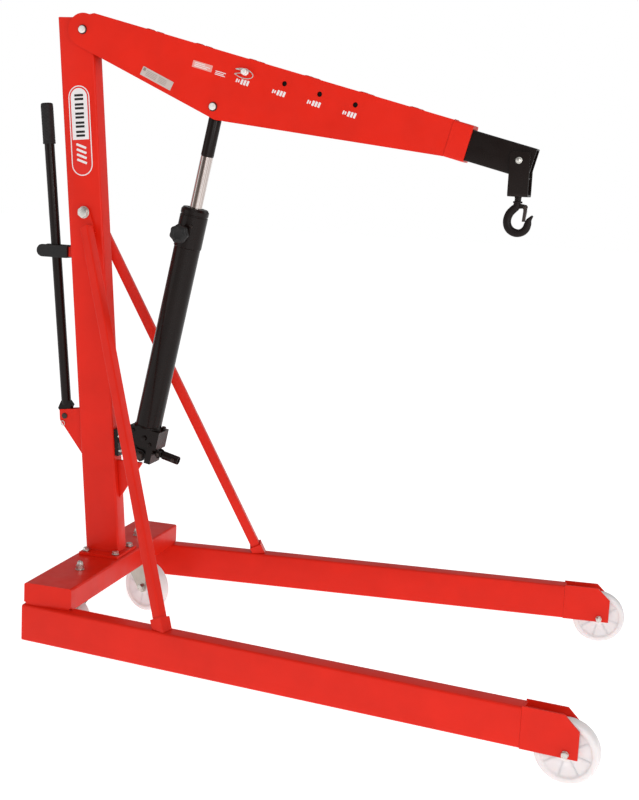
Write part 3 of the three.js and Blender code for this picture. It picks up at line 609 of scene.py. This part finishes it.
# ---------------------------------------------------------------- wheels
def wheel_mesh():
    """A moulded nylon wheel about Z: crowned tread, rim lips, ribbed web and hub."""
    points = mm([
        (6.3, 19), (9.5, 19), (9.8, 18.4), (10.2, 17.8), (17.5, 17.8), (18.6, 17.2), (19.6, 16),
        (21, 14.6), (23, 13.6), (40, 13.2), (54, 13.2), (57.4, 13.8), (59.4, 15.2), (60.8, 17),
        (62.2, 17.8), (64, 18), (69.5, 18), (72, 17.2), (74.2, 15), (75.4, 12), (76, 7), (76, 0),
    ])
    profile = points + [(r, -h) for r, h in reversed(points[:-1])]
    rim = closed_lathe(profile, 96)
    ribs = []
    for face in (-1, 1):
        for i in range(8):
            rib = plate_shape(mm([(19, 9), (60, 9), (60, 13.4), (19, 13.9)]), -1.6 * MM, 1.6 * MM)
            if face < 0:
                rib = moved(rib, Matrix.Diagonal((1, 1, -1, 1)))
            ribs.append(moved(rib, Matrix.Rotation(math.radians(45 * i + 12), 4, "Z")))
    return together(rim, *ribs)


def along_axis(origin, axis):
    """A matrix whose Z is axis, for turned pieces."""
    axis = Vector(axis).normalized()
    x_axis = axis.cross(Vector((0, 0, 1)))
    if x_axis.length < 0.1:
        x_axis = Vector((1, 0, 0))
    x_axis.normalize()
    return placed(origin, x_axis, axis.cross(x_axis), axis)


for name, body in (
    ("left_front_wheel", "left_front_wheel"), ("right_front_wheel", "right_front_wheel"),
    ("left_caster_wheel", "left_caster_wheel"), ("right_caster_wheel", "right_caster_wheel"),
):
    place = along_axis(joint_place(f"{name}_spin"), joint_axis(f"{name}_spin"))
    finish_piece(f"{name}_moulding", wheel_mesh(), NYLON, body, (name,), place, smooth=38)
    sleeve = together(
        disc(9.2 * MM, 18.6 * MM, 19.3 * MM, 0.3 * MM, 6.4 * MM),
        disc(9.2 * MM, -19.3 * MM, -18.6 * MM, 0.3 * MM, 6.4 * MM),
    )
    finish_piece(f"{name}_bearing", sleeve, ZINC, body, (), place)

AXLE_GRIP = 50.4 * MM
for side, outward in (("left", 1), ("right", -1)):
    spin = f"{side}_front_wheel_spin"
    axis = joint_axis(spin) * outward
    axle = bolt(
        radius=6 * MM, flats=15 * MM, head=6.5 * MM, grip=AXLE_GRIP, washer=8.8 * MM,
        nut=10 * MM, tail=3 * MM,
    )
    place = along_axis(joint_place(spin) + axis * AXLE_GRIP / 2, -axis)
    finish_piece(f"{side}_front_axle_bolt", axle, ZINC, "base_frame", (f"{side}_front_axle",), place)
    spin = f"{side}_caster_wheel_spin"
    axis = joint_axis(spin)
    axle = bolt(
        radius=6 * MM, flats=19 * MM, head=7.5 * MM, grip=AXLE_GRIP, washer=11 * MM,
        nut=9 * MM, tail=2 * MM,
    )
    place = along_axis(joint_place(spin) - axis * AXLE_GRIP / 2, axis)
    finish_piece(f"{side}_caster_axle_bolt", axle, ZINC, f"{side}_caster", (f"{side}_caster_axle",), place)

# ---------------------------------------------------------------- caster studs and races
beam_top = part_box("cross_beam")[1].z
nut_top = beam_top + 14 * MM
for side in ("left", "right"):
    swivel = joint_place(f"{side}_caster_swivel")
    place = Matrix.Translation((swivel.x, swivel.y, 0))
    stud_low, stud_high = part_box(f"{side}_caster_stud")
    dome = [
        (8.6 * MM * math.cos(math.radians(a)), stud_high.z + (-10.4 + 9.6 * math.sin(math.radians(a))) * MM)
        for a in range(0, 90, 10)
    ]
    stud = together(
        disc(8 * MM, stud_low.z + 0.4 * MM, beam_top + 3 * MM),
        disc(11 * MM, stud_low.z, stud_low.z + 2 * MM),
        disc(15 * MM, 163.4 * MM, 165.8 * MM),
        disc(13 * MM, beam_top + 0.3 * MM, beam_top + 2.5 * MM),
        hexagon(20 * MM, beam_top + 2.5 * MM, nut_top),
        lathe([(0, nut_top), (8.6 * MM, nut_top), *dome, (0, stud_high.z - 0.8 * MM)], 48),
    )
    finish_piece(f"{side}_caster_stud_and_nut", stud, ZINC, "base_frame", (f"{side}_caster_stud",), place)
    race = closed_lathe(mm([
        (9, 155.6), (26, 155.6), (29.5, 156.4), (30, 158), (28, 159.4), (28.6, 160.6), (27.5, 162.4),
        (24, 162.9), (9, 162.9),
    ]), 64)
    finish_piece(f"{side}_caster_race", race, CASTER_STEEL, f"{side}_caster", (), place)

# ---------------------------------------------------------------- bolts of the mast and its foot
plate_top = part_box("mast_foot_plate")[1].z
for i in range(1, 5):
    node = f"mast_foot_bolt_{i}"
    middle = box_middle(node)
    head_seat = Vector((middle.x, middle.y, plate_top + 1.9 * MM))
    place = placed(head_seat, Vector((1, 0, 0)), Vector((0, -1, 0)), Vector((0, 0, -1)))
    foot_bolt = bolt(radius=6 * MM, flats=16.5 * MM, head=7 * MM, grip=17 * MM, washer=10.8 * MM)
    finish_piece(f"{node}_finished", foot_bolt, ZINC, "base_frame", (node,), place)


def cross_bolt(name, body, nodes, at, start, grip, material=ZINC, **settings):
    """A bolt along +Y whose head bears at y = start."""
    place = along_axis(Vector((at.x, start, at.z)), LEFT)
    finish_piece(name, bolt(grip=grip, **settings), material, body, nodes, place)


cross_bolt(
    "brace_bolt_finished", "base_frame", ("brace_bolt",), box_middle("brace_bolt"), -33.5 * MM, 67 * MM,
    radius=10 * MM, flats=27 * MM, head=9 * MM, nut=14 * MM, tail=3 * MM, washer=17 * MM,
)
pivot = together(
    disc(10 * MM, -43.5 * MM, 38 * MM, 1 * MM, 0.0, 56), disc(16.5 * MM, 36.4 * MM, 38 * MM),
    hexagon(29 * MM, 38 * MM, 50 * MM), thread(10 * MM, 49 * MM, 53.5 * MM),
)
pivot_place = along_axis(on_middle(joint_place("boom_lift")), LEFT)
finish_piece("boom_pivot_bolt_finished", pivot, PIN_STEEL, "base_frame", ("boom_pivot_bolt",), pivot_place)
# painted shade: a thin dark ring round the pin end stands for the shadow in the gap of the hole round the pin
collar = disc(12.6 * MM, -38.6 * MM, -36.4 * MM, 0.8 * MM, 9.9 * MM, 56)
finish_piece("boom_pivot_painted_shade_ring", collar, DARK_STEEL, "base_frame", (), pivot_place)
ram_foot = joint_place("ram_tilt")
cross_bolt(
    "ram_foot_pin_finished", "base_frame", ("ram_foot_pin",), ram_foot, -19.7 * MM, 39.4 * MM,
    radius=8 * MM, flats=20 * MM, head=6 * MM, nut=11 * MM, tail=2 * MM, washer=12 * MM,
    material=DARK_STEEL,
)
cross_bolt(
    "hanger_bolt_finished", "extension", ("hanger_bolt",), hang, -37.4 * MM, 74.8 * MM,
    radius=6 * MM, flats=13 * MM, head=5 * MM, nut=9 * MM, tail=2.5 * MM, washer=8.5 * MM,
    round_head=6.6 * MM,
)
ram_pin = on_middle(box_middle("ram_pin_bolt"))
flange_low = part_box("ram_foot_bracket")[0].z
FLANGE_FACE = MAST_DEPTH / 2 + 11.5 * MM
flange_out = MAST.to_3x3() @ Vector((-1, 0, 0))
for name, height in (("low", 18 * MM), ("high", 60 * MM)):
    for side, y in (("right", -15 * MM), ("left", 15 * MM)):
        rise = (flange_low + height - MAST.translation.z) / MAST_LINE.z
        place = along_axis(MAST @ Vector((FLANGE_FACE, y, rise)), flange_out)
        flange_bolt = bolt(radius=3.5 * MM, flats=8.5 * MM, head=4 * MM, grip=8 * MM, washer=4.6 * MM)
        finish_piece(f"ram_foot_bolt_{name}_{side}", flange_bolt, ZINC, "base_frame", (), place)
stub = together(
    disc(8 * MM, -38 * MM, -20.5 * MM), disc(9.6 * MM, -43.5 * MM, -36.6 * MM, 1 * MM, 0.0, 56),
)
ram_pin_place = along_axis(ram_pin, LEFT)
finish_piece("ram_pin_head", stub, PIN_STEEL, "boom", ("ram_pin_bolt",), ram_pin_place)
# painted shade: a thin dark ring round the pin head stands for the shadow in the gap of the hole round the pin
collar = disc(12.2 * MM, -38.6 * MM, -36.4 * MM, 0.8 * MM, 9.5 * MM, 56)
finish_piece("ram_pin_painted_shade_ring", collar, DARK_STEEL, "boom", (), ram_pin_place)
stub = together(
    disc(8 * MM, 20.5 * MM, 38 * MM), disc(14 * MM, 36.4 * MM, 38 * MM),
    hexagon(24 * MM, 38 * MM, 47.5 * MM), thread(8 * MM, 46 * MM, 50.5 * MM),
)
finish_piece("ram_pin_nut_finished", stub, ZINC, "boom", ("ram_pin_nut",), ram_pin_place)


# ---------------------------------------------------------------- lock pin with its wire clip
lock_place = on_middle(box_middle("lock_pin"))
pin = together(
    disc(6.2 * MM, -50 * MM, 45.5 * MM, 1.2 * MM), disc(9.5 * MM, -44 * MM, -36.4 * MM, 1.2 * MM),
    disc(8 * MM, -56 * MM, -50 * MM, 1.4 * MM),
)
finish_piece(
    "lock_pin_finished", pin, PIN_STEEL, "lock_pin", ("lock_pin",), along_axis(lock_place, LEFT),
)
loop = []
for step in range(23):
    angle = math.radians(150 - 300 * step / 22)
    loop.append((-1 + 27 * math.cos(angle), -47.5, -5 + 12 * math.sin(angle)))
wire(
    "lock_pin_clip", mm([(0, -47, 3), *loop, (-2, -47, -3)]), 1.3 * MM, ZINC, "lock_pin",
    Matrix.Translation(lock_place) @ BOOM.to_3x3().to_4x4(),
)

# ---------------------------------------------------------------- hydraulic ram
TOWARDS_VIEWER = Matrix.Rotation(math.pi / 2, 4, "X")


def on_ram(x, y, z):
    """A frame on the ram, in millimetres from its foot pin, whose Z points out of its near side."""
    return Matrix.Translation((x * MM, y * MM, z * MM)) @ TOWARDS_VIEWER


tube = lathe(mm([
    (30, 85.6), (36, 85.6), (37, 86.4), (37, 611), (36.4, 611.7), (30, 611.7),
]), 96)
finish_piece("ram_cylinder_tube", tube, BLACK, "ram_cylinder", ("ram_cylinder",), RAM)


def rippled(angle, radius, height):
    """A weld's outer edge, with 60 ripples round it."""
    return radius + (0.25 * MM * math.sin(angle * 60) if radius > 38 * MM else 0), height


collar = closed_lathe(mm([
    (36.5, 85.2), (40.2, 85.2), (40.2, 86.8), (39, 89.4), (37.2, 91.5),
]), 96, rippled)
finish_piece("ram_cylinder_weld", collar, BLACK, "ram_cylinder", (), RAM, smooth=60)
head = closed_lathe(mm([
    (17.5, 612), (38.2, 612), (39, 612.8), (39, 700), (38.4, 700.8), (37.6, 701.4), (37.6, 704),
    (38.4, 704.6), (39, 705.4), (39, 716), (38.2, 717.2), (36, 720), (34.5, 722.6), (33, 723),
    (23, 723), (22, 721.6), (20, 721.6), (19, 723), (17.5, 723),
]), 96)
boss = moved(
    together(disc(11 * MM, 30 * MM, 44 * MM, 1.2 * MM), hexagon(17 * MM, 43.6 * MM, 46.2 * MM)),
    on_ram(-8, 0, 650),
)
finish_piece(
    "ram_gland_head_finished", together(head, boss), BLACK, "ram_cylinder", ("ram_gland_head",), RAM,
)


def lobed(angle, radius, height):
    """Knob rim with seven finger lobes that fade towards its face."""
    depth = 2.6 * MM * max(0.0, min(1.0, (radius - 12 * MM) / (12 * MM)))
    return radius - depth * (1 - math.cos(angle * 7)) / 2, height


knob = lathe(mm([
    (0, -1), (9, -1), (10, -0.4), (10.5, 3.6), (20, 4), (24.5, 4.6), (26.4, 6.4), (27, 9), (27, 17.5),
    (26.2, 20.8), (23.8, 23), (20, 24.2), (14, 24.6), (13, 23.6), (12, 23.4), (0, 23.4),
]), 112, lobed)
finish_piece(
    "release_knob_finished", knob, PLASTIC, "release_knob", ("release_knob",),
    RAM @ on_ram(-8, -46.4, 650), smooth=50,
)
screw = moved(
    together(hexagon(9 * MM, 37 * MM, 42 * MM), disc(2.4 * MM, 41.6 * MM, 46 * MM)), on_ram(13, 0, 675),
)
finish_piece("bleed_screw", screw, DARK_STEEL, "ram_cylinder", (), RAM)

rod = lathe(mm([
    (0, 232.4), (28.6, 232.4), (29.2, 233.2), (29.2, 255.2), (28.6, 256), (17, 256), (17, 866.6),
    (16.2, 867.6), (0, 867.6),
]), 96)
finish_piece("ram_rod_finished", rod, CHROME, "ram_rod", ("ram_rod",), RAM)
pin_reach = (ram_pin - ram_foot).length
eye = lathe(mm([(0, 868), (17, 868), (17.8, 869)]) + [
    (radius * MM, pin_reach + past * MM)
    for radius, past in ((17.8, 5), (16.6, 10), (13, 14.6), (7, 17.4), (0, 18))
], 64)
finish_piece("ram_rod_end_finished", eye, BLACK, "ram_rod", ("ram_rod_end",), RAM)

# pump: cap screws, filler plug and the hinge pin of the lever socket
plugs = []
for x, z in ((-30, 44), (-30, 72), (28, 44)):
    cap_screw = together(
        disc(5.5 * MM, 0, 4.6 * MM, 0.8 * MM), disc(2.6 * MM, 4.4 * MM, 4.9 * MM, 0.2 * MM),
    )
    plugs.append(moved(cap_screw, on_ram(x, -34.8, z)))
plugs.append(moved(hexagon(14 * MM, 0, 6 * MM), on_ram(8, -34.8, 58)))
finish_piece("pump_block_plugs", together(*plugs), BLACK, "ram_cylinder", (), RAM)
socket_pin = joint_place("pump_socket_tilt")
pin = together(
    disc(4.2 * MM, -16.5 * MM, 17.5 * MM), disc(6.5 * MM, -18.5 * MM, -15.3 * MM),
    disc(6 * MM, 15.2 * MM, 16.6 * MM),
)
finish_piece(
    "pump_socket_hinge_pin", pin, DARK_STEEL, "ram_cylinder", (), along_axis(socket_pin, LEFT),
)
SOCKET_DROOP = math.radians(93)
socket_axis = RAM.to_3x3() @ Vector((math.sin(SOCKET_DROOP), 0, math.cos(SOCKET_DROOP)))
SOCKET = side_frame(socket_pin, socket_axis, True)
socket = closed_lathe(mm([
    (9, 20), (9, 60.8), (9.8, 62), (11.4, 62), (12, 61.2), (12, 13), (11, 12), (0.01, 12), (0.01, 20),
]), 56)
knuckle = moved(disc(9 * MM, -9 * MM, 9 * MM, 0.8 * MM, 4.4 * MM), TOWARDS_VIEWER)
neck = plate_shape(mm([(-7, 3), (7, 3), (8, 14), (-8, 14)]), -8 * MM, 8 * MM)
set_screw = moved(
    together(hexagon(10 * MM, 11 * MM, 16 * MM), disc(3 * MM, 15.6 * MM, 18.5 * MM)),
    Matrix.Translation((0, 0, 48 * MM)) @ TOWARDS_VIEWER,
)
socket_parts = together(socket, knuckle, neck)
finish_piece("pump_socket_finished", socket_parts, BLACK, "pump_socket", ("pump_socket",), SOCKET)
finish_piece("pump_socket_set_screw", set_screw, DARK_STEEL, "pump_socket", (), SOCKET)

# ---------------------------------------------------------------- tow handle and its clip
shaft = lathe(mm([(0, 30), (12, 31), (14, 36), (14, 880), (13, 881), (0, 881)]), 56)
foot_outline = mm(
    [(15 * math.cos(math.radians(a)), 15 * math.sin(math.radians(a))) for a in range(180, 361, 15)]
    + [(17, 22), (22, 30), (12, 44), (-12, 44), (-24, 22), (-15, 8)]
)
finish_piece("tow_handle_tube", shaft, BLACK, "handle", ("tow_handle",), HANDLE)
foot = plate_shape(foot_outline, -10 * MM, 10 * MM)
finish_piece("tow_handle_foot", foot, BLACK, "handle", (), HANDLE, bevel=1.5 * MM)


def grip_ribs(angle, radius, height):
    """Raised finger ribs on the grip, in rows with plain bands between them."""
    if radius < 17 * MM or height < 786 * MM or height > 884 * MM:
        return radius, height
    wave = math.cos(2 * math.pi * height / (9 * MM)) * math.cos(angle * 9)
    return radius + 0.7 * MM * max(-0.4, wave), height


grip = closed_lathe(mm([
    (14.3, 779), (17.0, 779), (17.9, 780.4), (17.9, 784), (17.2, 785),
    *[(17.2, 786 + 0.98 * i) for i in range(101)],
    (17.2, 886), (17.0, 889), (15.4, 892), (12, 893), (0.01, 893), (0.01, 887.5), (14.3, 887.3),
]), 72, grip_ribs)
finish_piece("handle_grip_finished", grip, RUBBER, "handle", ("handle_grip",), HANDLE, smooth=50)
pin = together(disc(6 * MM, -16 * MM, 24 * MM, 1 * MM), disc(8.5 * MM, -18.5 * MM, -15.8 * MM, 1 * MM))
finish_piece(
    "handle_pin_finished", pin, DARK_STEEL, "base_frame", ("handle_pin",), along_axis(handle_pin, LEFT),
)
r_clip = [(0, 9), (0, -14), (3, -19), (8, -16), (7, -9), (3, -3), (7, 3), (9, 9)]
wire(
    "handle_pin_clip", mm([(x, 20, z - 1) for x, z in r_clip]), 1.1 * MM, ZINC, "base_frame",
    Matrix.Translation(handle_pin),
)
ring = [
    (-5 + 6 * math.cos(a), -17 - 2 * math.sin(a), -22 + 7 * math.sin(a))
    for a in (2 * math.pi * k / 28 for k in range(28))
]
wire(
    "handle_pin_ring", mm(ring), 1.2 * MM, ZINC, "base_frame",
    Matrix.Translation(on_middle(handle_pin)), cyclic=True,
)

# ---------------------------------------------------------------- hanger, hook, nut and latch
hanger_low, hanger_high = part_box("hook_hanger")
HANGER_HALF = (hanger_high.x - hanger_low.x) / 2
hanger_top = hanger_high.z - hang.z
bend_height = hanger_low.z - hang.z + 8 * MM
BEND_MIDDLE = 29 * MM


def quarter_bend(radius, angles):
    """The lower right bend of the strap, as a quarter circle."""
    turns = [math.radians(angle) for angle in angles]
    return [
        (BEND_MIDDLE + radius * math.cos(turn), bend_height + radius * math.sin(turn)) for turn in turns
    ]


def mirrored(points):
    return [(-y, z) for y, z in reversed(points)]


outside = quarter_bend(8 * MM, range(0, -91, -15))
inside = quarter_bend(2 * MM, range(-90, 1, 15))
bend = [
    (37 * MM, hanger_top), *outside, *mirrored(outside), (-37 * MM, hanger_top),
    (-31 * MM, hanger_top), *mirrored(inside), *inside, (31 * MM, hanger_top),
]
strap = moved(plate_shape(bend, -HANGER_HALF, HANGER_HALF), Matrix.Rotation(math.pi / 2, 4, "Z"))
corners = [
    edge for edge in strap.edges
    if all(v.co.z > hanger_top - 0.1 * MM and abs(v.co.x) > HANGER_HALF - 0.1 * MM for v in edge.verts)
    and abs(edge.verts[0].co.x - edge.verts[1].co.x) < 0.1 * MM
]
bmesh.ops.bevel(strap, geom=corners, offset=8 * MM, segments=5, profile=0.5, affect="EDGES")
finish_piece(
    "hook_hanger_strap", strap, BLACK, "hanger", ("hook_hanger",),
    HANGER @ Matrix.Translation((2 * MM, 0, 0)), bevel=1 * MM,
)

# the hook's centre line with its half widths in plane and across, in millimetres from its bowl's middle
hook_path = [
    (0, 66, 9, 9), (0, 54, 9, 9), (-1, 46, 9.5, 9), (-6, 38, 10.5, 9), (-15, 30, 11, 9),
    (-24, 20, 11.2, 9), (-29.3, 7, 11.2, 9), (-29.6, -6, 11.3, 9), (-24.8, -17.5, 11.5, 9),
    (-16, -25.5, 11.5, 9), (-4, -30, 11.2, 9), (8, -30.2, 10.6, 9), (19.5, -25.6, 10.6, 8.6),
    (27.4, -17, 10.6, 8), (31.2, -6, 10, 7.2), (33.4, 3, 8, 6.2), (38, 10, 5.2, 5), (44, 16.8, 2.6, 3.4),
]
hook_path = [
    (2.2 + 0.87 * x, 0.77 + 0.97 * z, across * 0.93, deep) if z < 44 else (x, z, across * 0.93, deep)
    for x, z, across, deep in hook_path
]
stem_top = hook_high.z - (hook_low.z + HOOK_OUTER)
hook_parts = together(
    sweep(smooth_path(mm(hook_path)), 2.5, 28), disc(9 * MM, 60 * MM, stem_top, 1 * MM),
    disc(12 * MM, 47 * MM, 52 * MM, 1.2 * MM),
)
lug = plate_shape(mm([
    (-2, 33), (5, 33), (9.5, 33.8), (13, 34), (17, 33), (23, 32.6), (26, 36), (26, 40), (23, 43.6),
    (18, 44.4), (9, 46), (2, 46),
]), -5 * MM, 5 * MM)
finish_piece("lifting_hook_forging", hook_parts, FORGED, "hook", ("lifting_hook",), HOOK, smooth=60)
finish_piece("hook_latch_lug", lug, FORGED, "hook", (), HOOK, bevel=1.4 * MM)
nut_low, nut_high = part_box("hook_nut")
nut = hexagon(26 * MM, 0, nut_high.z - nut_low.z, True, 9.3 * MM)
nut_place = Matrix.Translation((hang.x, 0, nut_low.z))
finish_piece("hook_nut_finished", nut, ZINC, "hook", ("hook_nut",), nut_place)
soften("hook_latch", DARK_STEEL, 0.5 * MM)
pin = together(
    disc(2.1 * MM, -9 * MM, 9 * MM, 0.5 * MM), disc(3.4 * MM, -9.6 * MM, -8 * MM, 0.5 * MM),
    disc(3.4 * MM, 8 * MM, 9.6 * MM, 0.5 * MM),
)
finish_piece("hook_latch_pin", pin, DARK_STEEL, "hook", (), along_axis(joint_place("latch_open"), LEFT))


# ---------------------------------------------------------------- welds
def weld(name, body, runs, radius, matrix=None):
    beads = together(*[weld_bead(run, radius) for run in runs])
    finish_piece(name, beads, WELD, body, (), matrix, smooth=75)


bead_height = plate_top + 0.6 * MM
foot_front = mast_foot_x + MAST_HALF
foot_rear = mast_foot_x - MAST_HALF
runs = [[(x, -24 * MM, bead_height), (x, 24 * MM, bead_height)] for x in (foot_front, foot_rear)]
runs += [
    [(foot_rear + 4 * MM, y, bead_height), (foot_front - 4 * MM, y, bead_height)]
    for y in (-27 * MM, 27 * MM)
]
weld("mast_foot_weld", "base_frame", runs, 2.2 * MM)
stitches = [
    mm([(u - 14, y, 50.8), (u + 14, y, 50.8)])
    for u in (196, 345, 502, 664, 820, 960) for y in (-31.4, 31.4)
]
weld("boom_top_stitches", "boom", stitches, 2.3 * MM, BOOM)
weld("boom_sleeve_weld", "boom", [
    mm([(1068.2, -36, -42), (1068.2, -36, 47)]), mm([(1068.2, 36, -42), (1068.2, 36, 47)]),
    mm([(1068.2, -30, 50.6), (1068.2, 30, 50.6)]),
], 2.0 * MM, BOOM)

# ---------------------------------------------------------------- labels
BOOM_FACE = -36
LINE_THICKNESS = 0.25 * MM


def label(name, body, material, matrix, length, height, thickness, radius):
    finish_piece(name, slab(length, height, thickness, radius), material, body, (), matrix)


def line(width, height, x, z, radius=0.3, thickness=LINE_THICKNESS, turn=0):
    """A printed line or bar, in millimetres, turned by degrees about its own middle."""
    bar = slab(width * MM, height * MM, thickness, radius * MM, 2)
    return shifted(moved(bar, Matrix.Rotation(math.radians(turn), 4, "Y")), x=x * MM, z=z * MM)


def on_boom(u, v, turn=0.0, lift=0.0):
    place = Matrix.Translation((u * MM, (BOOM_FACE - lift) * MM, v * MM))
    return BOOM @ place @ Matrix.Rotation(math.radians(turn), 4, "Y")


RATING_PLACE = (248.9, -67.6, 10.7)
label("rating_plate", "boom", PLATE, on_boom(*RATING_PLACE), 99 * MM, 24.5 * MM, 0.8 * MM, 1.5 * MM)
marks = [line(34, 0.9, -18, z) for z in (6, 2, -2, -6)]
marks += [line(26, 0.9, 18, z) for z in (6, 2, -2, -6)]
marks.append(line(8, 8, -42.5, 6, 0.8))
finish_piece(
    "rating_plate_lines", together(*marks), PLATE_INK, "boom", (), on_boom(*RATING_PLACE, 0.8),
)
rivet_profile = mm([(0, 0), (1.8, 0), (1.5, 0.7), (0.8, 1.1), (0, 1.2)])
rivets = [
    shifted(moved(lathe(rivet_profile, 20), TOWARDS_VIEWER), x=x * MM, z=z * MM)
    for x in (-46, 46) for z in (-9, 9)
]
finish_piece("rating_plate_rivets", together(*rivets), ZINC, "boom", (), on_boom(*RATING_PLACE, 0.7))

label("boom_film_rear", "boom", LABEL_PALE, on_boom(368, -2), 58 * MM, 18 * MM, 0.3 * MM, 1 * MM)
label("boom_film_front", "boom", LABEL_RED, on_boom(423, -7), 38 * MM, 14 * MM, 0.3 * MM, 1 * MM)
film_lines = [
    line(width, 2.0, x, z, 0.4, 0.2 * MM) for x, z, width in (
        (-8, 4.5, 30), (0, 0, 46), (-4, -4.5, 38), (55, -1.5, 30), (53, -6, 26), (55, -10, 30),
    )
]
finish_piece("boom_film_lines", together(*film_lines), LABEL_WHITE, "boom", (), on_boom(368, -2, 0, 0.3))

load_marks = [
    line(width, height, middle + x, -11.5, 0.9, turn=8)
    for middle in (492, 598, 699, 800)
    for x, width, height in ((-19, 3.8, 10), (-13, 3.8, 8), (-4, 6, 14), (4.5, 6, 14), (13, 6, 14))
]
finish_piece("load_marks", together(*load_marks), LABEL_WHITE, "boom", (), on_boom(0, 0))

BADGE_RISE = 1198.9 * MM
mast_face = MAST @ Matrix.Translation((0, -27 * MM, BADGE_RISE / MAST_LINE.z))


def on_mast(lift):
    return mast_face @ Matrix.Translation((0, -lift * MM, 0))


def pill_part(z0, z1, half, low_round, high_round):
    """A piece of a pill outline in millimetres, with a half-round end where asked."""
    outline = [(-half, z0), (half, z0)]
    if low_round:
        outline = [
            (half * math.cos(math.radians(a)), z0 + half + half * math.sin(math.radians(a)))
            for a in range(180, 361, 10)
        ]
    if high_round:
        outline += [
            (half * math.cos(math.radians(a)), z1 - half + half * math.sin(math.radians(a)))
            for a in range(0, 181, 10)
        ]
    else:
        outline += [(half, z1), (-half, z1)]
    return plate_shape(mm(outline), -LINE_THICKNESS, 0)


label("mast_label_border", "base_frame", LABEL_WHITE, on_mast(0), 64 * MM, 248 * MM, 0.30 * MM, 32 * MM)
edge = pill_part(-121, 121, 29, True, True)
finish_piece("mast_label_edge", edge, LABEL_RED, "base_frame", (), on_mast(0.30))
field = pill_part(-24, 117, 25, False, True)
finish_piece("mast_label_field", field, LABEL_WHITE, "base_frame", (), on_mast(0.55))
rows = [
    line(27, 6.4, 0, -8 + 25 * i + offset, 1.2, 0.2 * MM) for i in range(5) for offset in (-5.2, 5.2)
]
finish_piece("mast_label_bars", together(*rows), LABEL_INK, "base_frame", (), on_mast(0.80))
slanted = [line(32, 6.4, 0, z, 1.6, 0.2 * MM, 22) for z in (-42, -56, -70, -84)]
finish_piece("mast_label_strokes", together(*slanted), LABEL_WHITE, "base_frame", (), on_mast(0.55))

# ---------------------------------------------------------------- floor, light and camera
floor_mesh = bpy.data.meshes.new("floor")
floor_mesh.from_pydata([(-30, -30, 0), (30, -30, 0), (30, 30, 0), (-30, 30, 0)], [], [(0, 1, 2, 3)])
floor = bpy.data.objects.new("floor", floor_mesh)
scene.collection.objects.link(floor)
material, tree, shader = new_material("pale_floor")
set_values(
    shader, Base_Color=(0.84, 0.84, 0.84, 1), Roughness=0.9, Specular_IOR_Level=0.1,
    Emission_Color=(1, 1, 1, 1), Emission_Strength=0.76,
)
floor_mesh.materials.append(material)

# white behind the crane, a dimmer grey for what lights it and shows in its reflections
world = bpy.data.worlds.new("studio")
scene.world = world
world.use_nodes = True
sky = world.node_tree
soft = sky.nodes["Background"]
soft.inputs["Color"].default_value = (1, 1, 1, 1)
soft.inputs["Strength"].default_value = 0.36
seen = sky.nodes.new("ShaderNodeBackground")
seen.inputs["Color"].default_value = (1, 1, 1, 1)
seen.inputs["Strength"].default_value = 1.0
path = sky.nodes.new("ShaderNodeLightPath")
blend = sky.nodes.new("ShaderNodeMixShader")
output = next(node for node in sky.nodes if node.type == "OUTPUT_WORLD")
sky.links.new(path.outputs["Is Camera Ray"], blend.inputs["Fac"])
sky.links.new(soft.outputs["Background"], blend.inputs[1])
sky.links.new(seen.outputs["Background"], blend.inputs[2])
sky.links.new(blend.outputs["Shader"], output.inputs["Surface"])


def area_light(name, place, target, size, power):
    light = bpy.data.lights.new(name, "AREA")
    light.shape = "SQUARE"
    light.size = size
    light.energy = power
    lamp = bpy.data.objects.new(name, light)
    lamp.location = place
    lamp.rotation_mode = "QUATERNION"
    lamp.rotation_quaternion = (Vector(target) - Vector(place)).to_track_quat("-Z", "Y")
    scene.collection.objects.link(lamp)


# place, target, size in metres, power in watts
area_light("key", (1.9, -4.2, 2.0), (0.1, 0, 0.8), 2.6, 45)
area_light("edge", (3.4, -2.4, 1.5), (-0.3, 0, 1.0), 0.5, 22)
area_light("overhead", (0.3, -1.0, 4.4), (0, 0, 0.2), 2.4, 16)
area_light("fill", (-3.4, -2.4, 1.8), (0, 0, 0.8), 2.4, 14)
area_light("rim", (2.8, 2.6, 2.6), (0, 0, 0.9), 2.0, 16)

camera_data = bpy.data.cameras.new("camera")
camera_data.lens = 56.38545
camera_data.sensor_width = 36
camera_data.shift_x = 0.00503
camera_data.shift_y = -0.02455
camera_data.clip_end = 100
camera = bpy.data.objects.new("camera", camera_data)
right = Vector((0.9567767, 0.28645453, 0.05022094))
up = Vector((-0.09168431, 0.13322027, 0.98683654))
back = Vector((0.27599334, -0.94878668, 0.15372543))
camera.matrix_world = placed(Vector((0.93949, -3.24855, 1.31678)), right, up, back)
scene.collection.objects.link(camera)
scene.camera = camera
